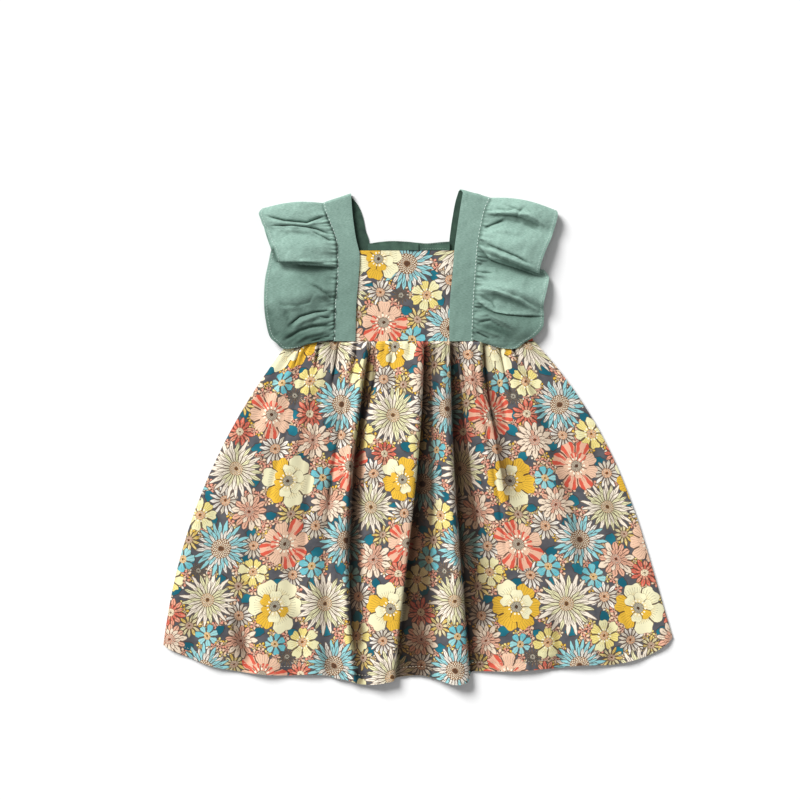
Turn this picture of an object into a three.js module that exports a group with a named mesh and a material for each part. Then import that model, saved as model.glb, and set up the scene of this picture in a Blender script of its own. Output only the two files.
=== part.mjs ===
// A toddler's sundress laid flat on a surface, front up: a gathered skirt under a small bodice,
// wide shoulder straps and gathered flutter sleeves sewn into the straps' outer seams.
// Millimetres. While the pieces are made, x runs to the right from the middle of the bodice,
// y runs up from the waist seam, and z rises from the surface that the dress lies on.
import * as THREE from 'three';

// Driving dimensions
const CLOTH = 1.2;            // thickness of every wall
const SEAM_GAP = 0.3;         // room between two pieces at a seam or lying on each other
const RUFFLE_GAP = 0.45;      // room between a strap's edge and its flutter sleeve
const NECK_Y = 87;            // straight front neckline
const BACK_NECK_Y = 96;       // top of the back neck band
const UNDERARM_Y = 28;        // top of the short side seam of the bodice
const ARMHOLE_SHARE = 0.6;    // share of the bodice's height at which the armhole starts to curve out
const WAIST_LEFT = -111;      // side seams at the waist
const WAIST_RIGHT = 121;
const PLACKET_WIDTH = 10;
const PLACKET_X = 6.5;        // middle of the centre back placket
const SKIRT_ROWS = 18;        // steps from the waist to the hem
const COLUMNS_A_FOLD = 2;     // steps from one fold line to the next
const RUFFLE_ROWS_A_RIB = 3;
const RUFFLE_STEPS = 8;       // steps from the seam to the free edge
const WAIST_GATHER = 0.45;     // height of the small gathers under the waist seam
const WAIST_GATHER_REACH = 0.12; // share of the skirt's length that they run down
const RUFFLE_GATHER = 0.5;     // height of the small gathers along the flutter sleeves' seams
const GATHER_ROOM = 2.6;       // length of seam that a full small gather takes
const RUFFLE_GATHER_REACH = 0.4; // share of the sleeve's width that they run out
const GATHER_FLATTENS = 0.35; // share of a fold's height that is left in the waist seam
const GATHER_RISE = 0.05;     // share of the skirt's length in which the folds rise to their height

// Heights of the middle of each layer, each one resting on the layer below it.
const LAYER = CLOTH + SEAM_GAP;
const BACK_Z = CLOTH / 2;
const BODICE_BACK_Z = BACK_Z + LAYER;
const BODICE_FRONT_Z = BODICE_BACK_Z + LAYER;
const STRAP_FRONT_Z = BODICE_FRONT_Z + LAYER;
const SHOULDER_RADIUS = (STRAP_FRONT_Z - BACK_Z) / 2;

const SAGE = new THREE.Color(0.23, 0.41, 0.33);
const PRINT = new THREE.Color(0.62, 0.47, 0.38);

// Turns a table into one object for each row, with the columns as names.
function table(columns, rows) {
  return rows.map((row) => Object.fromEntries(columns.map((name, i) => [name, row[i]])));
}

// The front skirt's folds from the left side seam to the right one. Each row is a crest or a
// trough: x and z at the waist, at one third, at two thirds and at the hem, and the hem's y.
const SKIRT_FOLDS = table(
  ['fold', 'xWaist', 'xHigh', 'xLow', 'xHem', 'zWaist', 'zHigh', 'zLow', 'zHem', 'yHem'],
  [
    ['left side seam', -111, -174, -213, -233, 2.1, 2.1, 2.1, 2.1, -291],
    ['left seam roll', -108, -168, -206, -225, 3.2, 3.4, 3.6, 4.0, -296],
    ['hollow', -103, -157, -192, -208, 2.8, 2.8, 2.6, 2.6, -303],
    ['swell', -96, -143, -173, -187, 4.2, 5.0, 4.5, 5.5, -311],
    ['hollow', -91, -129, -154, -162, 2.8, 4.0, 3.4, 3.0, -316],
    ['swell', -84, -114, -133, -137, 4.4, 6.0, 5.5, 6.5, -319],
    ['hollow', -78, -100, -113, -115, 2.8, 4.5, 4.0, 3.4, -320],
    ['swell', -71, -86, -95, -95, 4.6, 7.0, 6.5, 6.0, -319],
    ['hollow', -63, -73, -80, -78, 3.2, 6.0, 5.0, 3.2, -320],
    ['small pleat', -54, -64, -70, -66, 6.5, 8.5, 8.0, 5.0, -323],
    ['pleat trough', -49, -59, -65, -58, 3.0, 9.3, 8.5, 6.0, -324],
    ['left panel edge', -39, -52, -59, -50, 7.0, 10.5, 9.0, 7.5, -326],
    ['first trough', -28, -44, -48, -42, 2.6, 3.0, 4.0, 9.0, -328],
    ['middle panel foot', -23, -36, -37, -31, 6.5, 8.0, 8.0, 10.5, -328],
    ['middle panel', -8, -16, -20, -23, 5.5, 9.5, 10.0, 10.0, -327],
    ['middle panel edge', 14, 7, -4, -15, 7.5, 12.0, 10.5, 8.5, -325],
    ['second fall', 18, 14, 3, -6, 4.0, 6.0, 5.5, 5.0, -322],
    ['second trough', 21, 22, 16, 10, 2.6, 2.6, 2.8, 3.0, -320],
    ['ridge foot', 25, 29, 30, 25, 6.0, 8.0, 7.0, 5.0, -322],
    ['ridge', 33, 36, 41, 45, 9.0, 14.0, 12.5, 12.0, -328],
    ['ridge edge', 41, 42, 49, 59, 7.5, 11.5, 10.0, 8.0, -326],
    ['deep trough start', 44, 48, 57, 65, 2.2, 2.4, 2.8, 3.0, -317],
    ['deep trough end', 48, 57, 71, 72, 2.2, 2.6, 3.2, 3.2, -316],
    ['box pleat left', 51, 64, 79, 82, 7.5, 7.5, 5.5, 4.2, -316],
    ['box pleat', 61, 72, 93, 101, 9.0, 9.0, 8.0, 6.0, -316],
    ['box pleat right', 71, 79, 102, 117, 7.5, 8.5, 8.0, 6.2, -315],
    ['pleat trough', 75, 85, 111, 130, 2.6, 6.5, 7.0, 4.2, -314],
    ['pucker', 80, 96, 122, 144, 6.0, 7.0, 6.5, 3.6, -313],
    ['hollow', 87, 109, 136, 159, 3.4, 6.0, 5.4, 5.6, -311],
    ['swell', 95, 125, 152, 176, 5.0, 6.5, 5.6, 6.0, -310],
    ['hollow', 102, 143, 171, 196, 3.0, 4.6, 4.0, 3.0, -310],
    ['swell', 110, 159, 191, 216, 4.2, 5.0, 4.6, 4.6, -306],
    ['hollow', 116, 173, 209, 234, 2.8, 3.0, 2.8, 2.8, -300],
    ['right seam roll', 119, 184, 221, 248, 3.2, 3.4, 3.6, 4.0, -291],
    ['right side seam', 121, 189, 227, 255, 2.1, 2.1, 2.1, 2.1, -284],
  ],
);

// The back skirt's hem, which stays a few millimetres inside the front one.
const BACK_HEM = table(['x', 'y'], [
  [-233, -289], [-211, -298], [-187, -307], [-150, -313], [-95, -316], [-30, -317],
  [40, -315], [100, -312], [170, -306], [215, -300], [242, -291], [255, -282],
]);

// The bodice panels: the neckline, and the edges that the straps cover. The back panel is narrow
// above the step, between the back straps.
const BODICE = {
  front: { neckLeft: -58, neckRight: 58, neckY: NECK_Y, stepY: 84, edgeLeft: -62, edgeRight: 61 },
  back: { neckLeft: -37, neckRight: 42, neckY: 93, stepY: 82, edgeLeft: -60, edgeRight: 61 },
};

// A strap's two edges, on the front and on the back, each from the waist to the shoulder fold.
function edge(rows) {
  return table(['y', 'x'], rows);
}
const STRAP_EDGES = {
  left: {
    inner: {
      front: edge([[0, -49], [37, -48], [60, -46], [83, -45], [99, -48.5], [120, -51.5], [139, -53]]),
      back: edge([[0, -33], [40, -33], [78, -34], [97, -36], [106, -39], [118, -41.5], [130, -46], [139, -53]]),
    },
    outer: {
      front: edge([[0, -70], [37, -69], [60, -67], [83, -67], [99, -68.5], [120, -77], [130, -80]]),
      back: edge([[0, -54], [40, -54], [78, -57], [97, -61], [106, -65], [118, -72.5], [126, -77.6], [130, -80]]),
    },
  },
  right: {
    inner: {
      front: edge([[0, 41], [37, 41.5], [64, 44], [89, 46], [104, 48], [131, 52], [142, 54]]),
      back: edge([[0, 38], [40, 38], [78, 39], [95, 41], [104, 42], [118, 44], [134, 47], [144, 50]]),
    },
    outer: {
      front: edge([[0, 64], [31, 65], [64, 67], [90, 69], [104, 71], [126, 76], [135, 80]]),
      back: edge([[0, 59], [40, 59], [78, 62], [95, 65], [104, 67], [118, 72], [135, 80]]),
    },
  },
};

// The ribs of a flutter sleeve, from the front waist over the shoulder to the back waist. Each
// row is a crest, trough or turn: how far along the seam its foot is, its free end, how much it
// arches up on the way there, and how much it bows along the seam.
const RIB_COLUMNS = ['rib', 'foot', 'x', 'y', 'z', 'arch', 'bow'];
const RUFFLE_RIBS = {
  left: table(RIB_COLUMNS, [
    ['front end', 1.5, -91, -1, 6.8, 1.0, 0],
    ['crest', 8, -105, -6, 9.0, 2.0, 0],
    ['dark trough', 15, -118, -7, 7.2, 1.0, 2],
    ['ridge', 22, -124, -2, 9.5, 2.5, 3],
    ['crease', 29, -131, 5, 8.0, 0.5, 4],
    ['lower lobe', 38, -135, 23, 9.5, 3.0, 0],
    ['lower lobe top', 47, -136, 40, 9.0, 3.5, 0],
    ['shaded fall', 56, -135, 60, 6.0, 0.5, 0],
    ['under layer', 62, -132, 76, 4.2, -0.3, 0],
    ['lower turn', 67, -129, 88, 6.0, 0.0, 0],
    ['turned layer', 71.5, -126.5, 81, 9.0, 0.8, 0],
    ['upper lobe edge', 76.5, -124, 76, 12.5, 1.8, 0],
    ['upper lobe', 85, -126, 87, 15.0, 3.0, 0],
    ['upper lobe top', 93, -131, 97, 14.0, 3.0, 0],
    ['second crease', 101, -134, 106, 10.5, 0.5, 0.5],
    ['strip', 109, -137.5, 111.5, 12.0, 1.5, -1.5],
    ['first crease', 116.5, -139, 116, 10.0, 0.5, -3.5],
    ['top lobe', 125, -141, 122, 12.5, 3.0, -1],
    ['shoulder front', 131.4, -138, 126.5, 8.5, 1.5, 3],
    ['shoulder', 133.5, -136, 126.5, 5.2, 0.5, 3],
    ['shoulder back', 135.7, -136, 125, 2.4, 0.0, 2],
    ['back wave', 145, -138, 116, 0.6, 0.0, 0],
    ['back wave', 153, -136, 107, 2.2, 0.0, 0],
    ['back wave', 163, -133, 97, 0.6, 0.0, 0],
    ['back wave', 175, -129, 84, 2.2, 0.0, 0],
    ['back wave', 187, -131, 70, 0.6, 0.0, 0],
    ['back wave', 200, -132, 55, 2.2, 0.0, 0],
    ['back wave', 213, -131, 40, 0.6, 0.0, 0],
    ['back wave', 225, -127, 29, 0.6, 0.0, 0],
    ['back wave', 239, -118, 17, 0.6, 0.0, 0],
    ['back wave', 252, -106, 8, 0.6, 0.0, 0],
    ['back end', 264, -92, 2, 0.6, 0.0, 0],
  ]),
  right: table(RIB_COLUMNS, [
    ['front end', 2, 78, -3, 6.8, 0.8, 0],
    ['crest', 7.5, 91, -6.5, 8.4, 1.6, 0],
    ['small crease', 11, 104, -7, 8.2, 0.5, 0],
    ['lowest lobe', 17, 113, -1, 10.0, 2.5, 0],
    ['lowest ridge', 24, 123, 5, 11.0, 3.5, 3],
    ['dark fall', 29, 130, 13, 8.0, 1.5, 3],
    ['dark trough', 35, 131.5, 22, 7.0, 0.5, 2],
    ['gather', 42, 131, 30, 9.5, 1.5, 4],
    ['third lobe ridge', 53, 131, 37, 14.5, 4.0, 4],
    ['third lobe', 61, 134, 49, 11.5, 2.5, 0],
    ['shaded fall', 69, 136, 58, 7.5, 1.0, 0],
    ['under layer', 76, 136, 62.5, 5.4, 0.0, 0],
    ['roll turn', 81, 131, 68, 7.8, 0.0, 0],
    ['roll', 86.5, 127, 64.5, 11.5, 1.5, 0],
    ['second lobe edge', 92, 128, 73, 15.0, 3.0, 0],
    ['second lobe', 101, 133, 87, 14.0, 4.0, 0],
    ['second lobe top', 109, 138, 98, 11.5, 2.5, 0],
    ['dark fall', 115, 141, 107, 8.5, 0.5, 0],
    ['first ridge', 122, 143, 114, 11.5, 3.0, 2],
    ['top lobe', 130, 144.5, 121, 10.5, 2.5, 3],
    ['shoulder front', 136.9, 143.5, 124.5, 8.0, 1.5, 4],
    ['shoulder', 139, 143.5, 124.5, 4.8, 0.5, 4],
    ['shoulder back', 141.2, 142.5, 123.5, 2.2, 0.0, 3],
    ['back wave', 154, 141, 116, 0.6, 0.0, 0],
    ['back wave', 164, 139, 106, 2.2, 0.0, 0],
    ['back wave', 175, 134, 93, 0.6, 0.0, 0],
    ['back wave', 187, 127, 80, 2.2, 0.0, 0],
    ['back wave', 199, 129, 67, 0.6, 0.0, 0],
    ['back wave', 212, 131, 54, 2.2, 0.0, 0],
    ['back wave', 224, 129, 40, 0.6, 0.0, 0],
    ['back wave', 236, 126, 29, 0.6, 0.0, 0],
    ['back wave', 250, 118, 17, 0.6, 0.0, 0],
    ['back wave', 263, 104, 8, 0.6, 0.0, 0],
    ['back end', 275, 88, 2, 0.6, 0.0, 0],
  ]),
};

// A smooth curve through evenly spaced values, read at a place between them.
function alongCurve(values, place) {
  const last = values.length - 1;
  const i = Math.min(Math.floor(place), last - 1);
  const t = place - i;
  const before = values[Math.max(i - 1, 0)];
  const from = values[i];
  const to = values[i + 1];
  const after = values[Math.min(i + 2, last)];
  const slopeFrom = (to - before) / 2;
  const slopeTo = (after - from) / 2;
  const t2 = t * t;
  const t3 = t2 * t;
  return (2 * t3 - 3 * t2 + 1) * from + (t3 - 2 * t2 + t) * slopeFrom
    + (3 * t2 - 2 * t3) * to + (t3 - t2) * slopeTo;
}

// The cubic through four values at 0, 1/3, 2/3 and 1.
function throughFour(a, b, c, d, t) {
  const s = 3 * t;
  return -a * (s - 1) * (s - 2) * (s - 3) / 6
    + b * s * (s - 2) * (s - 3) / 2
    - c * s * (s - 1) * (s - 3) / 2
    + d * s * (s - 1) * (s - 2) / 6;
}

// An edge's x at any height, on a smooth curve through its rows.
function edgeX(rows, y) {
  const last = rows.length - 1;
  let i = 0;
  while (i < last - 1 && rows[i + 1].y < y) i += 1;
  const slope = (from, to) => (rows[to].x - rows[from].x) / (rows[to].y - rows[from].y);
  const length = rows[i + 1].y - rows[i].y;
  const start = slope(Math.max(i - 1, 0), i + 1) * length;
  const end = slope(i, Math.min(i + 2, last)) * length;
  const t = (y - rows[i].y) / length;
  const t2 = t * t;
  const t3 = t2 * t;
  return (2 * t3 - 3 * t2 + 1) * rows[i].x + (t3 - 2 * t2 + t) * start
    + (3 * t2 - 2 * t3) * rows[i + 1].x + (t3 - t2) * end;
}

// The height of a small gather at one step along a seam: every second step is a ridge. The ridges
// rise from the seam, fade out where their reach ends, and are low where the steps are close.
function smallGather(step, stepLength, away, reach, height) {
  const shape = Math.sin(Math.PI * Math.min(away / reach, 1));
  const room = Math.min(stepLength / GATHER_ROOM, 1) ** 2;
  return (step % 2 === 0 ? -height : height) * shape * room;
}

// A closed wall of cloth around the middle surface that rows of points give.
function clothWall(name, rows, colour) {
  const across = rows[0].length;
  const at = (r, c) => rows[THREE.MathUtils.clamp(r, 0, rows.length - 1)][
    THREE.MathUtils.clamp(c, 0, across - 1)];
  const positions = [];
  for (const side of [1, -1]) {
    for (let r = 0; r < rows.length; r += 1) {
      for (let c = 0; c < across; c += 1) {
        const alongRow = at(r, c + 1).clone().sub(at(r, c - 1));
        const alongColumn = at(r + 1, c).clone().sub(at(r - 1, c));
        const normal = alongRow.cross(alongColumn).normalize();
        const point = at(r, c).clone().addScaledVector(normal, side * CLOTH / 2);
        positions.push(point.x, point.y, point.z);
      }
    }
  }
  const sheet = rows.length * across;
  const outside = (r, c) => r * across + c;
  const inside = (r, c) => sheet + r * across + c;
  const faces = [];
  const quad = (a, b, c, d) => faces.push(a, b, c, a, c, d);
  for (let r = 0; r < rows.length - 1; r += 1) {
    for (let c = 0; c < across - 1; c += 1) {
      quad(outside(r, c), outside(r, c + 1), outside(r + 1, c + 1), outside(r + 1, c));
      quad(inside(r, c), inside(r + 1, c), inside(r + 1, c + 1), inside(r, c + 1));
    }
    const end = across - 1;
    quad(outside(r, 0), outside(r + 1, 0), inside(r + 1, 0), inside(r, 0));
    quad(outside(r + 1, end), outside(r, end), inside(r, end), inside(r + 1, end));
  }
  for (let c = 0; c < across - 1; c += 1) {
    const end = rows.length - 1;
    quad(outside(0, c + 1), outside(0, c), inside(0, c), inside(0, c + 1));
    quad(outside(end, c), outside(end, c + 1), inside(end, c + 1), inside(end, c));
  }
  const geometry = new THREE.BufferGeometry();
  geometry.setAttribute('position', new THREE.Float32BufferAttribute(positions, 3));
  geometry.setIndex(faces);
  return clothMesh(name, geometry, colour);
}

function clothMesh(name, geometry, colour) {
  const material = new THREE.MeshStandardMaterial({ color: colour, roughness: 0.9, metalness: 0 });
  const mesh = new THREE.Mesh(geometry, material);
  mesh.name = name;
  return mesh;
}

// A flat panel: an outline given one wall of thickness, its middle at the height z.
function flatPanel(name, outline, z, colour) {
  const geometry = new THREE.ExtrudeGeometry(outline, { depth: CLOTH, bevelEnabled: false, curveSegments: 10 });
  geometry.translate(0, 0, z - CLOTH / 2);
  return clothMesh(name, geometry, colour);
}

// The front skirt hangs from the waist seam in the folds of the table.
function skirtFront() {
  const lines = SKIRT_FOLDS.length - 1;
  const rows = [];
  for (let r = 0; r <= SKIRT_ROWS; r += 1) {
    const down = (r / SKIRT_ROWS) ** 1.25;
    const risen = 1 - (1 - GATHER_FLATTENS) * Math.exp(-down / GATHER_RISE);
    const xs = SKIRT_FOLDS.map((f) => throughFour(f.xWaist, f.xHigh, f.xLow, f.xHem, down));
    const zs = SKIRT_FOLDS.map((f) => throughFour(f.zWaist, f.zHigh, f.zLow, f.zHem, down));
    const ys = SKIRT_FOLDS.map((f) => THREE.MathUtils.lerp(-SEAM_GAP / 2, f.yHem, down));
    const row = [];
    for (let c = 0; c <= lines * COLUMNS_A_FOLD; c += 1) {
      const place = c / COLUMNS_A_FOLD;
      const fold = THREE.MathUtils.lerp(BODICE_FRONT_Z, alongCurve(zs, place), risen);
      const gather = smallGather(c, GATHER_ROOM, down, WAIST_GATHER_REACH, WAIST_GATHER);
      row.push(new THREE.Vector3(
        alongCurve(xs, place),
        alongCurve(ys, place),
        Math.max(fold + gather, BACK_Z + LAYER),
      ));
    }
    rows.unshift(row);
  }
  return clothWall('skirt_front', rows, PRINT);
}

// The back skirt lies flat under the front one, with the same side seams.
function skirtBack() {
  const left = SKIRT_FOLDS[0];
  const right = SKIRT_FOLDS[SKIRT_FOLDS.length - 1];
  const top = -SEAM_GAP / 2;
  const steps = 12;
  const sidePoint = (side, hemY, t) => new THREE.Vector2(
    throughFour(side.xWaist, side.xHigh, side.xLow, side.xHem, t),
    THREE.MathUtils.lerp(top, hemY, t),
  );
  const points = [];
  for (let i = 0; i < steps; i += 1) points.push(sidePoint(left, BACK_HEM[0].y, i / steps));
  const hem = new THREE.SplineCurve(BACK_HEM.map((p) => new THREE.Vector2(p.x, p.y)));
  points.push(...hem.getPoints(4 * steps));
  const hemEnd = BACK_HEM[BACK_HEM.length - 1].y;
  for (let i = steps - 1; i >= 0; i -= 1) points.push(sidePoint(right, hemEnd, i / steps));
  return flatPanel('skirt_back', new THREE.Shape(points), BACK_Z, PRINT);
}

// A bodice panel: a straight neckline, edges that run down under the straps, then out under the
// arms to a short side seam.
function bodicePanel(name, panel, z, colour) {
  const { neckLeft, neckRight, neckY, stepY, edgeLeft, edgeRight } = panel;
  const outline = new THREE.Shape();
  const seam = SEAM_GAP / 2;
  const armholeY = NECK_Y * ARMHOLE_SHARE;
  outline.moveTo(WAIST_LEFT, seam);
  outline.lineTo(WAIST_RIGHT, seam);
  outline.lineTo(WAIST_RIGHT, UNDERARM_Y);
  outline.quadraticCurveTo(edgeRight, UNDERARM_Y, edgeRight, armholeY);
  outline.lineTo(edgeRight, stepY);
  outline.lineTo(neckRight, stepY);
  outline.lineTo(neckRight, neckY);
  outline.lineTo(neckLeft, neckY);
  outline.lineTo(neckLeft, stepY);
  outline.lineTo(edgeLeft, stepY);
  outline.lineTo(edgeLeft, armholeY);
  outline.quadraticCurveTo(edgeLeft, UNDERARM_Y, WAIST_LEFT, UNDERARM_Y);
  outline.closePath();
  return flatPanel(name, outline, z, colour);
}

// The gathered band along the back neck, between the back straps, with its wavy top edge.
function backNeckBand() {
  const bottom = NECK_Y + SEAM_GAP;
  const top = table(['x', 'y'], [
    [-37, 93.5], [-27, 95], [-15, BACK_NECK_Y], [0, 95.5], [12, 94.3], [20, 93.8], [31, 94.8], [41, 95.5],
  ]);
  const curve = new THREE.SplineCurve(top.map((p) => new THREE.Vector2(p.x, p.y)));
  const points = curve.getPoints(3 * top.length);
  points.push(new THREE.Vector2(41.5, bottom), new THREE.Vector2(-36, bottom));
  return flatPanel('back_neck_band', new THREE.Shape(points), BODICE_BACK_Z + LAYER, SAGE);
}

// The short centre back placket, a narrow band on the neck band.
function backPlacket() {
  const outline = new THREE.Shape();
  outline.moveTo(PLACKET_X - PLACKET_WIDTH / 2, NECK_Y + SEAM_GAP);
  outline.lineTo(PLACKET_X + PLACKET_WIDTH / 2, NECK_Y + SEAM_GAP);
  outline.lineTo(PLACKET_X + PLACKET_WIDTH / 2, BACK_NECK_Y - 2.3);
  outline.lineTo(PLACKET_X - PLACKET_WIDTH / 2, BACK_NECK_Y - 1);
  outline.closePath();
  return flatPanel('back_placket', outline, BODICE_BACK_Z + 2 * LAYER, SAGE);
}

// A point of a strap's edge: along is 0 at the waist and 1 at the shoulder fold, and turn is 0 on
// the front, 1 on the back and between them round the fold.
function strapEdge(side, edgeName, along, turn) {
  const { front, back } = STRAP_EDGES[side][edgeName];
  const foldY = (rows) => rows[rows.length - 1].y;
  const angle = Math.PI * turn;
  const seam = SEAM_GAP / 2;
  const x = (rows) => edgeX(rows, THREE.MathUtils.lerp(seam, foldY(rows), along));
  return new THREE.Vector3(
    THREE.MathUtils.lerp(x(front), x(back), turn),
    THREE.MathUtils.lerp(
      THREE.MathUtils.lerp(seam, foldY(front), along),
      THREE.MathUtils.lerp(seam, foldY(back), along),
      turn,
    ) + SHOULDER_RADIUS * Math.sin(angle),
    (STRAP_FRONT_Z + BACK_Z) / 2 + SHOULDER_RADIUS * Math.cos(angle),
  );
}

// A strap: one strip from the front waist, folded over the shoulder, to the back waist.
function strap(side) {
  const straightSteps = 22;
  const turnSteps = 6;
  const across = 3;
  const stations = [];
  for (let i = 0; i < straightSteps; i += 1) stations.push([i / straightSteps, 0]);
  for (let i = 0; i <= turnSteps; i += 1) stations.push([1, i / turnSteps]);
  for (let i = straightSteps - 1; i >= 0; i -= 1) stations.push([i / straightSteps, 1]);
  const rows = stations.map(([along, turn]) => {
    const edges = ['inner', 'outer'].map((name) => strapEdge(side, name, along, turn));
    if (side === 'left') edges.reverse();
    return Array.from({ length: across + 1 }, (_, c) => edges[0].clone().lerp(edges[1], c / across));
  });
  return clothWall(`strap_${side}`, rows, SAGE);
}

// A flutter sleeve: its seam edge follows the strap's outer edge, its free edge the ribs' ends.
function ruffle(side) {
  const ribs = RUFFLE_RIBS[side];
  const outward = side === 'left' ? -1 : 1;
  const { front } = STRAP_EDGES[side].outer;
  const foldY = front[front.length - 1].y;
  const foldLength = Math.PI * SHOULDER_RADIUS;
  const columns = Object.fromEntries(
    RIB_COLUMNS.slice(1).map((name) => [name, ribs.map((rib) => rib[name])]),
  );
  const rows = [];
  const lastRow = (ribs.length - 1) * RUFFLE_ROWS_A_RIB;
  for (let r = 0; r <= lastRow; r += 1) {
    const place = r / RUFFLE_ROWS_A_RIB;
    const nextFoot = alongCurve(columns.foot, Math.min(r + 1, lastRow) / RUFFLE_ROWS_A_RIB);
    const rib = Object.fromEntries(
      Object.entries(columns).map(([name, values]) => [name, alongCurve(values, place)]),
    );
    const turn = THREE.MathUtils.clamp((rib.foot - foldY) / foldLength, 0, 1);
    const height = turn === 0 ? rib.foot : 2 * foldY + foldLength - rib.foot;
    const along = turn > 0 && turn < 1 ? 1 : height / foldY;
    const foot = strapEdge(side, 'outer', along, turn);
    const stepLength = nextFoot - rib.foot;
    foot.x += outward * RUFFLE_GAP;
    const row = Array.from({ length: RUFFLE_STEPS + 1 }, (_, i) => {
      const s = i / RUFFLE_STEPS;
      const bulge = Math.sin(Math.PI * s);
      const rise = Math.sin(Math.PI * s / 2) ** 1.5;
      const gather = turn === 0 ? smallGather(r, stepLength, s, RUFFLE_GATHER_REACH, RUFFLE_GATHER) : 0;
      const z = THREE.MathUtils.lerp(foot.z, rib.z, rise) + rib.arch * bulge + gather;
      return new THREE.Vector3(
        THREE.MathUtils.lerp(foot.x, rib.x, s),
        THREE.MathUtils.lerp(foot.y, rib.y, s) + rib.bow * bulge,
        Math.max(z, BACK_Z),
      );
    });
    if (side === 'left') row.reverse();
    rows.push(row);
  }
  return clothWall(`ruffle_${side}`, rows, SAGE);
}

const dress = new THREE.Group();
dress.add(
  skirtFront(),
  skirtBack(),
  bodicePanel('bodice_front', BODICE.front, BODICE_FRONT_Z, PRINT),
  bodicePanel('bodice_back', BODICE.back, BODICE_BACK_Z, SAGE),
  backNeckBand(),
  backPlacket(),
);
for (const side of ['left', 'right']) dress.add(strap(side), ruffle(side));

// The finished dress is moved so that its origin is under the middle of its outline.
const bounds = new THREE.Box3().setFromObject(dress);
const centre = bounds.getCenter(new THREE.Vector3());
dress.position.set(-centre.x, -centre.y, -bounds.min.z);
dress.updateMatrixWorld(true);

export default dress;
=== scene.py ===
import math

import bpy
import numpy as np
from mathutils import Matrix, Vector


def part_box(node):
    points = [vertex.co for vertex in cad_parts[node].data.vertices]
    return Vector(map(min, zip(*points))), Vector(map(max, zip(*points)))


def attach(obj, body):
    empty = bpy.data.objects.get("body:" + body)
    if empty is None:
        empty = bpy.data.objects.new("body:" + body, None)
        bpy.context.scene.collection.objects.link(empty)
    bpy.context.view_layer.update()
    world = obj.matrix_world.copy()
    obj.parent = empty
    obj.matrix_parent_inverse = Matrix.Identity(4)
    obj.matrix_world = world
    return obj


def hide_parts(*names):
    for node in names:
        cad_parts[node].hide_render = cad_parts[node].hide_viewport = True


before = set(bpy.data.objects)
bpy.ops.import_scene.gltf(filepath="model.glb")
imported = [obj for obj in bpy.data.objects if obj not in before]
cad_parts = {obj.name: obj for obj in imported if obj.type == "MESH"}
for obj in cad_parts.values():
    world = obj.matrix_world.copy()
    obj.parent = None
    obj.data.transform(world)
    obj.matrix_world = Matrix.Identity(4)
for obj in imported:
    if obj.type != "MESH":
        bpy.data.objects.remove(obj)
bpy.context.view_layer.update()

# Front skirt: one panel of printed cotton, gathered along its top into the waist seam, with a
# narrow turned-up hem. It lies in soft folds that fan out from the seam. Sizes are millimetres,
# x to the right from the middle of the bodice, y up from the waist seam, z up from the surface.
CLOTH = 0.6
WAIST_LEFT, WAIST_RIGHT = -111, 121
LAYER = 1.5
BACK_Z = 0.6
BODICE_BACK_Z = BACK_Z + LAYER
BODICE_FRONT_Z = BODICE_BACK_Z + LAYER
SEAM = 0.15
TAU = 2 * math.pi

bodice_low, bodice_high = (1000 * np.array(corner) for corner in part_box("bodice_front"))
origin = np.array([
    (bodice_low[0] + bodice_high[0] - WAIST_LEFT - WAIST_RIGHT) / 2,
    bodice_low[1] - SEAM,
    0.0,
])


def table(columns, rows):
    """A table as one array for each column name; the first column is only for the reader."""
    numbers = np.array([row[1:] for row in rows], float)
    return {name: numbers[:, i] for i, name in enumerate(columns.split()[1:])}


def curve_between(t, start, end, start_slope, end_slope):
    """A cubic from start to end with the slopes given there, read at t from 0 to 1."""
    bend = 2 * t**3 - 3 * t**2
    return (
        (bend + 1) * start + (t**3 - 2 * t**2 + t) * start_slope
        - bend * end + (t**3 - t**2) * end_slope
    )


def along_curve(values, places):
    """A smooth curve through evenly spaced values (their last axis), read at places on it."""
    last = values.shape[-1] - 1
    i = np.clip(np.floor(places).astype(int), 0, last - 1)
    before, start = values[..., np.maximum(i - 1, 0)], values[..., i]
    end, after = values[..., i + 1], values[..., np.minimum(i + 2, last)]
    return curve_between(places - i, start, end, (end - before) / 2, (after - start) / 2)


def distances(steps):
    """How far each point of a line is from its start, given the steps between its points."""
    return np.concatenate([[0], np.cumsum(steps)])


def through_four(values, t):
    """The cubic through four values at 0, 1/3, 2/3 and 1."""
    a, b, c, d = values
    s = 3 * t
    return (
        -a * (s - 1) * (s - 2) * (s - 3) / 6 + b * s * (s - 2) * (s - 3) / 2
        - c * s * (s - 1) * (s - 3) / 2 + d * s * (s - 1) * (s - 2) / 6
    )


def smooth(t):
    """Eases from 0 to 1."""
    t = np.clip(t, 0, 1)
    return t * t * (3 - 2 * t)


def soft_waves(points, seed, height, lengths, count=14):
    """Shallow uneven waves over a cloth, as cotton keeps after washing."""
    draw = np.random.default_rng(seed)
    total = np.zeros(points.shape[:-1])
    for _ in range(count):
        angle = draw.uniform(0, TAU)
        wave = draw.uniform(*lengths)
        across = points[..., 0] * math.cos(angle) + points[..., 1] * math.sin(angle)
        beside = points[..., 1] * math.cos(angle) - points[..., 0] * math.sin(angle)
        bend = np.sin(TAU * beside / (wave * 2.7) + draw.uniform(0, TAU))
        total += np.sin(TAU * across / wave + 1.3 * bend + draw.uniform(0, TAU))
    return height * total / math.sqrt(count)


SHARP_EDGE = 0.8


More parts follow.
